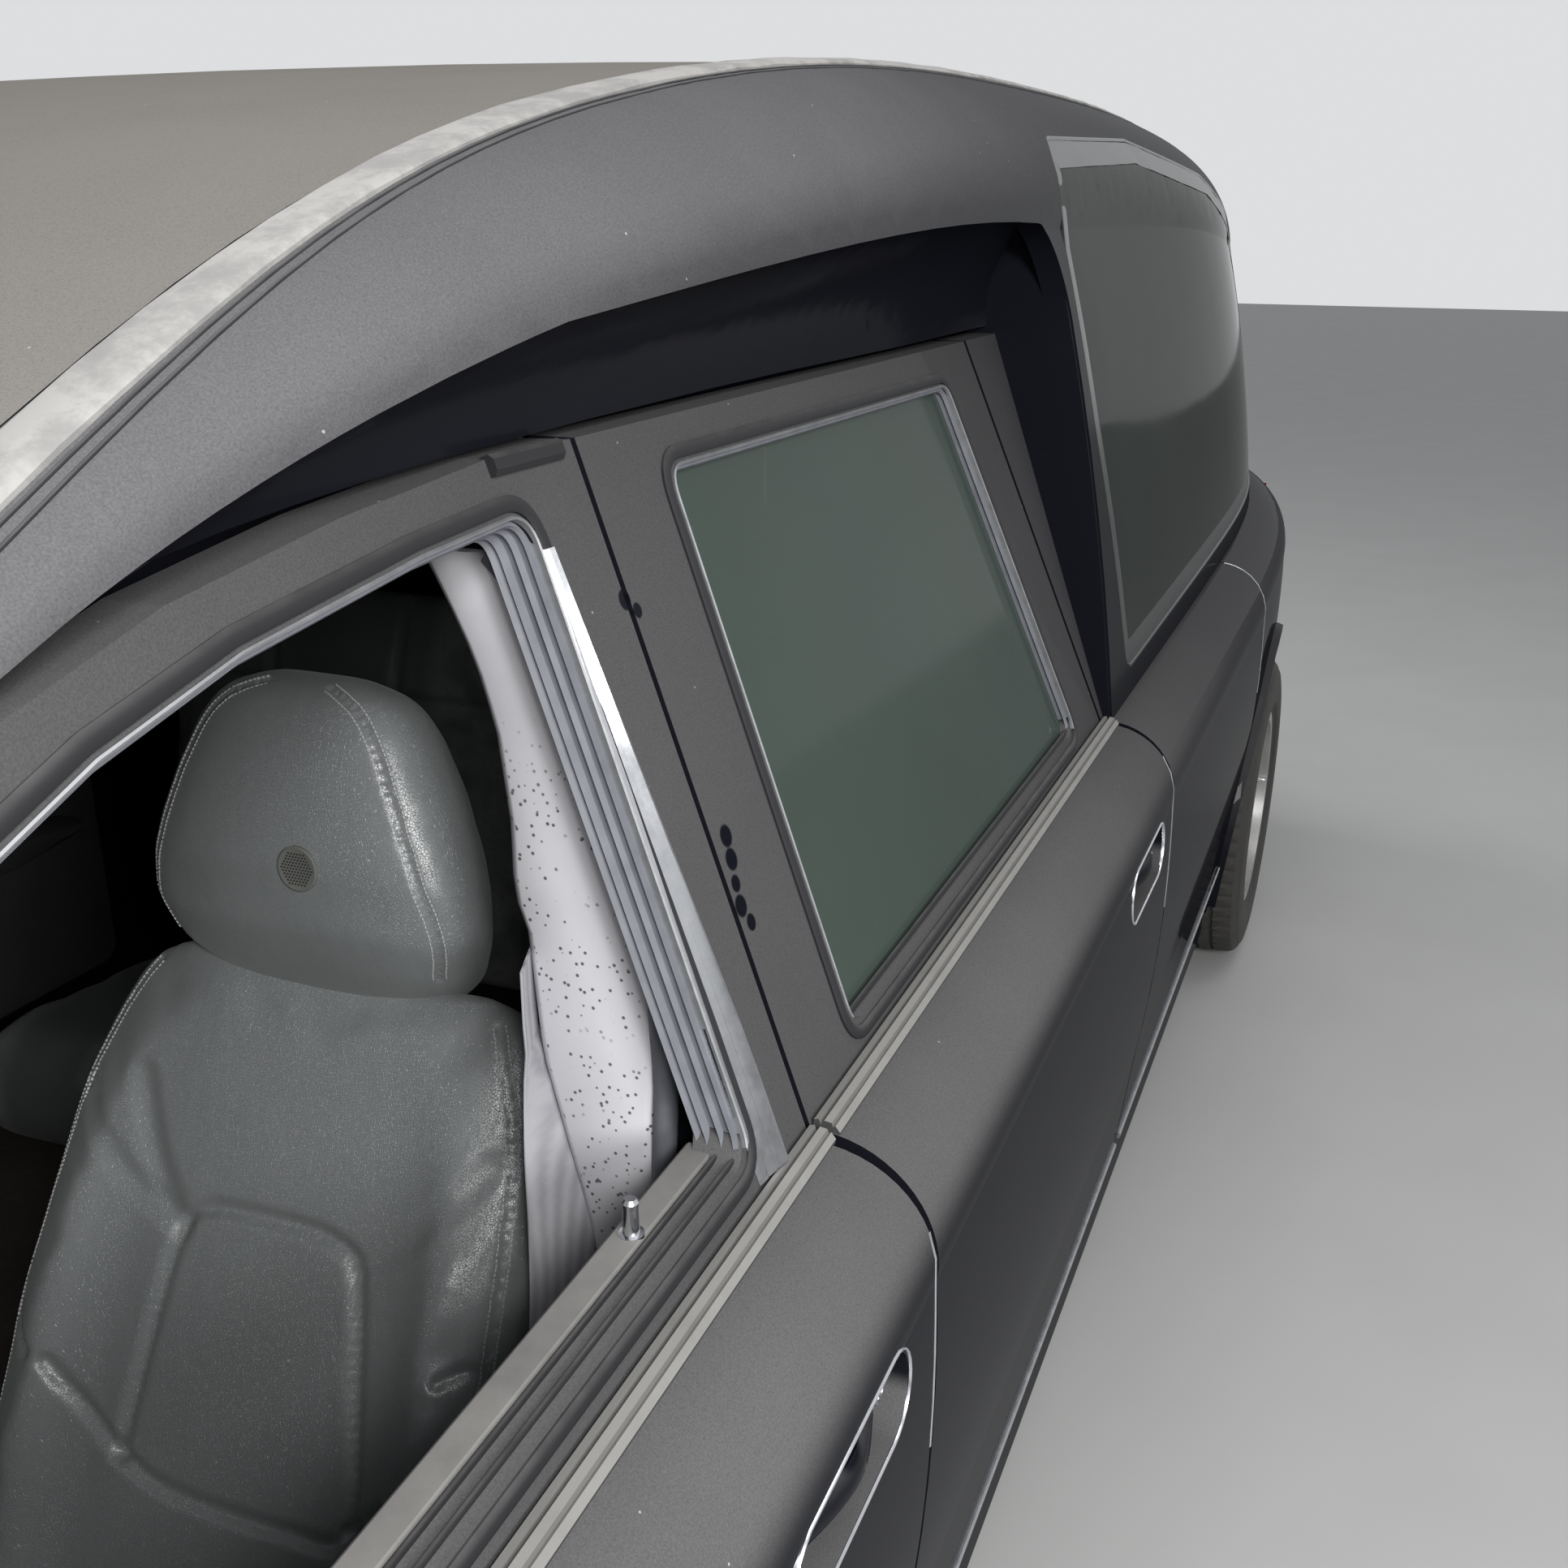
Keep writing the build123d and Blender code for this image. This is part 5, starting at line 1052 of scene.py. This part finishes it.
rings = []
for rise in run(BACK_ROWS[0][0], BACK_ROWS[-1][0], 0.018):
    half, deep, wing = between(BACK_ROWS, rise)
    shift = 0.010 * max(0.0, (rise - 0.45) / 0.12)
    slice_ = pad_ring(half, deep, 0, wing=wing)
    rings.append([on_back(SEAT_X + shift + x, rise, out - 0.006) for x, out in slice_])
seat_back = settled("seat_back", lofted(rings), 0.009, 0.009)
# X and way up the back of its seams
BOLSTER_SEAM = [
    (0.545, 0.560), (0.580, 0.480), (0.596, 0.400), (0.602, 0.300), (0.604, 0.180), (0.600, 0.060),
]
MIRRORED_SEAM = [(2 * SEAT_X - x, rise) for x, rise in BOLSTER_SEAM]
PANEL_EDGE = [
    (0.287, 0.170), (0.294, 0.275), (0.303, 0.345), (0.322, 0.368), (0.380, 0.374), (0.440, 0.372),
    (0.466, 0.352), (0.484, 0.275), (0.500, 0.172), (0.440, 0.158), (0.340, 0.157), (0.287, 0.170),
]
# a line on the back, how far out it is drawn, width and depth of its crease
BACK_CREASES = [
    (PANEL_EDGE, 0.0, 0.010, 0.0060),
    (((0.128, 0.290), (0.190, 0.232), (0.287, 0.170)), 0.0, 0.010, 0.0060),
    (((0.500, 0.172), (0.560, 0.215), (0.606, 0.262)), 0.0, 0.010, 0.0060),
    (((0.300, 0.352), (0.262, 0.400), (0.236, 0.455)), 0.0, 0.018, 0.0045),
    (((0.298, 0.352), (0.230, 0.385), (0.172, 0.440)), 0.0, 0.016, 0.0030),
    (((0.470, 0.360), (0.520, 0.400), (0.560, 0.450)), 0.0, 0.018, 0.0025),
    (((0.560, 0.300), (0.585, 0.312), (0.612, 0.308)), 0.02, 0.007, 0.0030),
]
dressed(
    seat_back, leather, "front_seat_backs",
    seams=[[on_back(x, rise, 0.01) for x, rise in seam] for seam in (BOLSTER_SEAM, MIRRORED_SEAM)],
    creases=[
        ([on_back(x, rise, out) for x, rise in line], width, depth)
        for line, out, width, depth in BACK_CREASES
    ],
)

# Headrests. A deep winged cushion on two steel posts, with a double-sewn seam down each side and a
# round patch of punched leather in its middle. Its holes are near-black dots of painted shade.
REST_X = 0.368
REST_FOOT = Vector((0, -0.505, 0.998))
REST_UP, REST_OUT = Vector((0, 0.2425, 0.9701)), Vector((0, -0.9701, 0.2425))
# way up, half width, thickness, how far the front stands out
REST_ROWS = [
    (-0.040, 0.080, 0.050, -0.078), (-0.028, 0.112, 0.078, -0.060), (-0.005, 0.136, 0.100, -0.034),
    (0.030, 0.147, 0.114, -0.012), (0.070, 0.145, 0.120, -0.002), (0.100, 0.136, 0.120, 0.000),
    (0.140, 0.120, 0.114, 0.000), (0.180, 0.100, 0.098, -0.004), (0.203, 0.082, 0.080, -0.011),
    (0.214, 0.062, 0.056, -0.022), (0.219, 0.040, 0.030, -0.034),
]


def on_rest(x, rise, out=0.0):
    return REST_FOOT + Vector((REST_X + x, 0, 0)) + REST_UP * rise + REST_OUT * out


rings = []
for rise in run(REST_ROWS[0][0], REST_ROWS[-1][0], 0.010):
    half, deep, lean = between(REST_ROWS, rise)
    slice_ = pad_ring(half, deep, lean, squareness=0.62)
    rings.append([on_rest(x, rise, out - 0.004) for x, out in slice_])
headrest = settled("headrest", lofted(rings), 0.0065, 0.008)
# X from the middle, way up and way out of the seam down each side
SIDE_SEAM = [
    (0.030, 0.222, -0.02), (0.072, 0.196, -0.006), (0.103, 0.140, -0.004), (0.126, 0.080, -0.008),
    (0.143, 0.030, -0.020), (0.134, -0.010, -0.040),
]
dressed(
    headrest, leather, "headrests",
    seams=[[on_rest(side * x, rise, out) for x, rise, out in SIDE_SEAM] for side in (1, -1)],
    creases=[([on_rest(x, 0.05 + 0.01 * math.sin(9 * x)) for x in run(-0.09, 0.09, 0.03)], 0.03, 0.0015)],
)
POST = [(-0.07, 0.0065), (0.06, 0.0065)]
posts = [turned(POST, on_rest(x, -0.02, -0.10), REST_UP, 16) for x in (-0.065, 0.065)]
pair("headrest_posts", whole(*posts), bright, "root")
PATCH_R, PUNCH_PITCH, HOLE = 0.0175, 0.0027, [(-0.001, 0.0008), (0.0009, 0.0008)]
patch_coat = Coat("punched_leather", Roughness=0.6)
patch_coat.mottled((0.075, 0.078, 0.072), (0.115, 0.118, 0.105), 60.0, 3.0)
# painted shade: each hole is a small near-black dot that stands for the shade inside it
hole_shade_coat = Coat("painted_hole_shade", Roughness=0.9)
hole_shade_coat.mottled((0.006, 0.006, 0.006), (0.014, 0.014, 0.014), 200.0, 1.0)
rest_skin = skin_of(bpy.data.objects["headrest_left"].data)
patch_at, patch_out = rest_skin.ray_cast(on_rest(0.026, 0.078, 0.2), -REST_OUT)[:2]
patch_at = patch_at + patch_out * 0.0008
PATCH = [(-0.004, PATCH_R), (0.0004, PATCH_R), (0.0010, PATCH_R - 0.0012), (0.0006, PATCH_R - 0.003)]
pair("headrest_patch", turned(PATCH, patch_at, patch_out, 40), patch_coat, "root")
sideways = patch_out.cross(REST_UP).normalized()
upwards = sideways.cross(patch_out).normalized()
holes = []
for row in range(-6, 7):
    for column in range(-6, 7):
        x, rise = (column + 0.5 * (row % 2)) * PUNCH_PITCH, row * PUNCH_PITCH * 0.866
        if math.hypot(x, rise) < PATCH_R - 0.0035:
            holes.append(turned(HOLE, patch_at + sideways * x + upwards * rise, patch_out, 8))
pair("headrest_hole_shade", whole(*holes), hole_shade_coat, "root")

# Seat cushions. The same foam and leather, sewn into a middle panel and two bolsters, on a moulded
# base that is bolted to the floor.
CUSHION_FRONT_Y, CUSHION_REAR_Y = -1.190, -0.690
# way back from the front edge, half width, thickness, bolster height, height of the top
CUSHION_ROWS = [
    (0.000, 0.190, 0.050, 0.000, 0.405), (0.012, 0.222, 0.090, 0.006, 0.430),
    (0.045, 0.238, 0.120, 0.018, 0.452), (0.150, 0.243, 0.132, 0.030, 0.462),
    (0.300, 0.243, 0.132, 0.034, 0.455), (0.440, 0.240, 0.126, 0.030, 0.444),
    (0.485, 0.228, 0.110, 0.016, 0.436), (0.500, 0.200, 0.070, 0.000, 0.420),
]
rings = []
for back in run(0.0, 0.5, 0.018):
    half, deep, wing, top = between(CUSHION_ROWS, back)
    slice_ = pad_ring(half, deep, 0, wing=wing)
    rings.append([Vector((SEAT_X + x, CUSHION_FRONT_Y + back, top + out - 0.006)) for x, out in slice_])
cushion = settled("seat_cushion", lofted(rings), 0.010, 0.014)
# seams of the cushion, as (X from the seat's middle, Y) points and the height they are drawn at
CUSHION_SEAMS = [
    ([(-0.12, CUSHION_FRONT_Y + 0.03), (-0.125, CUSHION_REAR_Y - 0.04)], 0.47),
    ([(0.12, CUSHION_FRONT_Y + 0.03), (0.125, CUSHION_REAR_Y - 0.04)], 0.47),
    ([(-0.12, CUSHION_FRONT_Y + 0.13), (0.12, CUSHION_FRONT_Y + 0.13)], 0.48),
    ([(0.205, CUSHION_FRONT_Y + 0.02), (0.214, CUSHION_FRONT_Y + 0.2), (0.214, CUSHION_REAR_Y - 0.03)], 0.49),
]
dressed(
    cushion, leather, "front_seat_cushions",
    seams=[[Vector((SEAT_X + x, y, z)) for x, y in line] for line, z in CUSHION_SEAMS],
    creases=[],
)


def round_cornered(centre, wide, high, radius, inset=0.0):
    """A ring with round corners about centre. wide and high are half its sizes."""
    ring = []
    for sx, sy, first in ((1, 1, 0), (-1, 1, 90), (-1, -1, 180), (1, -1, 270)):
        for turn in (0, 30, 60, 90):
            a = math.radians(first + turn)
            x = sx * (wide.length - radius) + (radius - inset) * math.cos(a)
            y = sy * (high.length - radius) + (radius - inset) * math.sin(a)
            ring.append(Vector(centre) + wide.normalized() * x + high.normalized() * y)
    return ring


base_rings = []
for z, half, y0, y1 in (
    (0.277, 0.215, -1.150, -0.600),
    (0.300, 0.225, -1.165, -0.585),
    (0.345, 0.230, -1.170, -0.585),
    (0.352, 0.222, -1.160, -0.595),
):
    wide, deep = Vector((half, 0, 0)), Vector((0, (y1 - y0) / 2, 0))
    base_rings.append(round_cornered((SEAT_X, (y0 + y1) / 2, z), wide, deep, 0.03))
for base in pair("seat_base", lofted(base_rings), plastic, "root"):
    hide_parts("front_seat_cushions")

# Rear bench. One long back and one long cushion of foam in the same dark leather. Long seams are
# pulled in.
BENCH_HALF, BENCH_ROUND = 0.672, 0.045


def bench_pad(name, node, section, seams):
    """A long pad whose (Y, Z) section runs from side to side, rounded at its ends."""
    rings = []
    middle = middle_of(section)
    for x in run(-BENCH_HALF, BENCH_HALF, 0.03):
        end = max(0.0, (abs(x) - BENCH_HALF + BENCH_ROUND) / BENCH_ROUND)
        share = math.sqrt(max(0.0, 1 - end**2)) * 0.35 + 0.65
        slice_ = [(middle.x + (y - middle.x) * share, middle.y + (z - middle.y) * share) for y, z in section]
        rings.append([Vector((x, y, z)) for y, z in slice_])
    pad = settled(name, lofted(rings), 0.014, 0.018)
    for line in seams:
        pulled_in(pad, on_pad(pad, [Vector(p) for p in line], 0.012)[0], 0.016, 0.008)
    pad.data.materials.append(leather.material)
    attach(pad, "root")
    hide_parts(node)


BENCH_BACK = [
    (0.418, 0.430), (0.430, 0.520), (0.446, 0.620), (0.463, 0.720), (0.480, 0.820), (0.497, 0.920),
    (0.512, 1.000), (0.528, 1.026), (0.552, 1.020), (0.562, 0.960), (0.566, 0.800), (0.560, 0.600),
    (0.545, 0.440), (0.480, 0.415),
]
BENCH_CUSHION = [
    (-0.010, 0.330), (-0.012, 0.380), (0.000, 0.420), (0.030, 0.444), (0.100, 0.444), (0.200, 0.436),
    (0.300, 0.428), (0.390, 0.418), (0.398, 0.380), (0.395, 0.300), (0.200, 0.290), (0.010, 0.300),
]
PLACES_X = (-0.44, -0.22, 0.0, 0.22, 0.44)
back_seams = [[(x, 0.40, 0.45), (x, 0.46, 0.80), (x, 0.50, 1.02)] for x in PLACES_X]
back_seams.append([(-0.66, 0.48, 0.86), (0, 0.48, 0.86), (0.66, 0.48, 0.86)])
bench_pad("bench_back", "rear_bench_back", BENCH_BACK, back_seams)
cushion_seams = [[(x, 0.0, 0.44), (x, 0.38, 0.44)] for x in PLACES_X]
bench_pad("bench_cushion", "rear_bench_cushion", BENCH_CUSHION, cushion_seams)

# Door linings. A board covered in grained vinyl is clipped to the inner side of each door and carries
# a padded armrest.
vinyl = Coat("door_vinyl", Roughness=0.55)
vinyl.mottled((0.035, 0.036, 0.037), (0.062, 0.063, 0.064), 9.0, 5.0).bump(vinyl.cells(620.0), 0.0004)


def slab(centre, wide, high, out, radius, depth):
    """A flat piece with round corners. wide and high are half its sizes, out the way it faces."""
    rings = []
    for far, inset in ((0.0, 0.0), (depth * 0.7, 0.0), (depth, min(depth * 0.3, radius * 0.5))):
        rings.append(round_cornered(Vector(centre) + Vector(out) * far, wide, high, radius, inset))
    return lofted(rings)


ARMREST = [
    (-0.030, -0.001), (-0.034, 0.020), (-0.024, 0.040), (-0.008, 0.048), (0.014, 0.048), (0.026, 0.036),
    (0.030, -0.001),
]
LINING_Z, LINING_HALF, BOARD_X, ARMREST_X = 0.640, 0.262, 0.7655, 0.7580
for door, y0, y1, rest0, rest1 in (
    ("front", -1.385, -0.545, -1.180, -0.640),
    ("rear", -0.330, 0.400, -0.200, 0.330),
):
    wide, high = Vector((0, (y1 - y0) / 2, 0)), Vector((0, 0, LINING_HALF))
    board = slab((BOARD_X, (y0 + y1) / 2, LINING_Z), wide, high, (-1, 0, 0), 0.03, 0.008)
    path = [Vector((ARMREST_X, y, LINING_Z)) for y in run(rest0, rest1, 0.04)]
    ends = [min(1.0, 0.35 + 6 * min(p.y - rest0, rest1 - p.y)) for p in path]
    armrest = sweep(path, Vector((-1, 0, 0)), ARMREST, widths=ends)
    pair(f"{door}_door_lining", whole(board, armrest), vinyl, f"door_{door}_")

# Dashboard fittings. An instrument glass, a plain centre panel and four finned air vents stand on its
# rear face.
DASH_FACE = Vector((0, -1.2375, 0.8800))
DASH_UP, DASH_OUT = Vector((0, -0.173, 0.985)), Vector((0, 0.985, 0.173))
dial_coat = Coat("instrument_glass", Roughness=0.12)
dial_coat.mottled((0.010, 0.011, 0.012), (0.022, 0.023, 0.025), 20.0, 2.0)
for name, x, half, high in (("instruments", 0.372, 0.150, 0.040), ("centre_panel", 0.0, 0.105, 0.046)):
    glass = slab(DASH_FACE + Vector((x, 0, 0)), Vector((half, 0, 0)), DASH_UP * high, DASH_OUT, 0.02, 0.004)
    piece(name, glass, dial_coat, "root")
fins = []
for x in (-0.600, -0.190, 0.190, 0.600):
    for step in range(-3, 4):
        middle = DASH_FACE + Vector((x, 0, 0)) + DASH_UP * step * 0.0095
        fins.append(slab(middle, Vector((0.046, 0, 0)), DASH_UP * 0.0024, DASH_OUT, 0.002, 0.006))
piece("air_vents", whole(*fins), plastic, "root")

# Mirror glasses. A silvered glass with rounded corners is held in the rear face of each mirror's
# housing.
silvered = Coat("mirror_glass", Metallic=1.0)
silvered.mottled((0.50, 0.51, 0.53), (0.66, 0.67, 0.69), 40.0, 4.0, rough=(0.02, 0.12))
glass_at = (0.975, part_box("mirror_left")[1].y - 0.0005, 1.010)
glass = slab(glass_at, Vector((0.073, 0, 0)), Vector((0, 0, 0.048)), (0, 1, 0), 0.022, 0.003)
pair("mirror_glass", glass, silvered, "door_front_")

# Wipers. Two black arms, each with a rubber blade, lie parked along the foot of the windscreen. They
# turn on capped spindles in the scuttle.
screen = surface_of("windscreen")
SCREEN_FOOT, ABOVE = Vector((0, -1.535, 0.978)), 0.12
SCREEN_UP, SCREEN_OUT = Vector((0, 0.820, 0.572)), Vector((0, -0.572, 0.820))


def on_screen(points):
    """(X, way up the glass) points as starts for laid()."""
    foot = SCREEN_FOOT + SCREEN_OUT * ABOVE
    return [foot + Vector((x, 0, 0)) + SCREEN_UP * rise for x, rise in points]


wipers = []
for pivot in (0.600, 0.020):
    blade = [(pivot + 0.010 - 0.58 * t, 0.034 + 0.026 * t) for t in run(0, 1, 0.1)]
    arm = [(pivot - 0.30 * t, 0.012 + 0.036 * t) for t in run(0, 1, 0.1)]
    wipers.append(sweep(*laid(screen, on_screen(blade), -SCREEN_OUT, 0.002), bead(0.009, 0.012, 0.0)))
    wipers.append(sweep(*laid(screen, on_screen(arm), -SCREEN_OUT, 0.010), bead(0.014, 0.008, 0.0)))
    foot = laid(screen, on_screen([(pivot, 0.012)]), -SCREEN_OUT)[0][0]
    wipers.append(turned([(-0.004, 0.013), (0.018, 0.012), (0.021, 0.008)], foot, SCREEN_OUT, 20))
piece("wipers", whole(*wipers), plastic, "root")

# Number plates. Blank plates of pale painted sheet metal with a raised rim, screwed flat on each
# bumper.
plate_coat = Coat("blank_plate", Roughness=0.45)
plate_coat.mottled((0.46, 0.455, 0.43), (0.60, 0.595, 0.57), 12.0, 5.0)
RIM_X, RIM_Z = 0.257, 0.053
rim = [(-RIM_X, -RIM_Z), (-RIM_X, RIM_Z), (RIM_X, RIM_Z), (RIM_X, -RIM_Z)]
for end, z, way in (("front", 0.400, -1), ("rear", 0.430, 1)):
    spot = laid(surface_of(f"{end}_bumper"), [(0, way * 3.3, z)], (0, -way, 0))[0][0]
    board = slab(spot, Vector((0.260, 0, 0)), Vector((0, 0, 0.056)), (0, way, 0), 0.010, 0.003)
    rim_line = [spot + Vector((across, way * 0.003, rise)) for across, rise in outline(rim, 0.009)]
    raised = sweep(rim_line, Vector((0, way, 0)), bead(0.003, 0.0012, 0.0005), closed=True)
    piece(f"{end}_plate", whole(board, raised), plate_coat, "root")

# Deck rails. Four rounded strips of polished metal are screwed along the boards, for loads to slide
# on.
deck = surface_of("load_deck")
for number, x in enumerate((0.150, 0.420)):
    path = laid(deck, [(x, y, 1.2) for y in run(0.68, 2.55, 0.2)], (0, 0, -1))
    pair(f"deck_rail_{number + 1}", sweep(*path, bead(0.030, 0.006)), bright, "root")
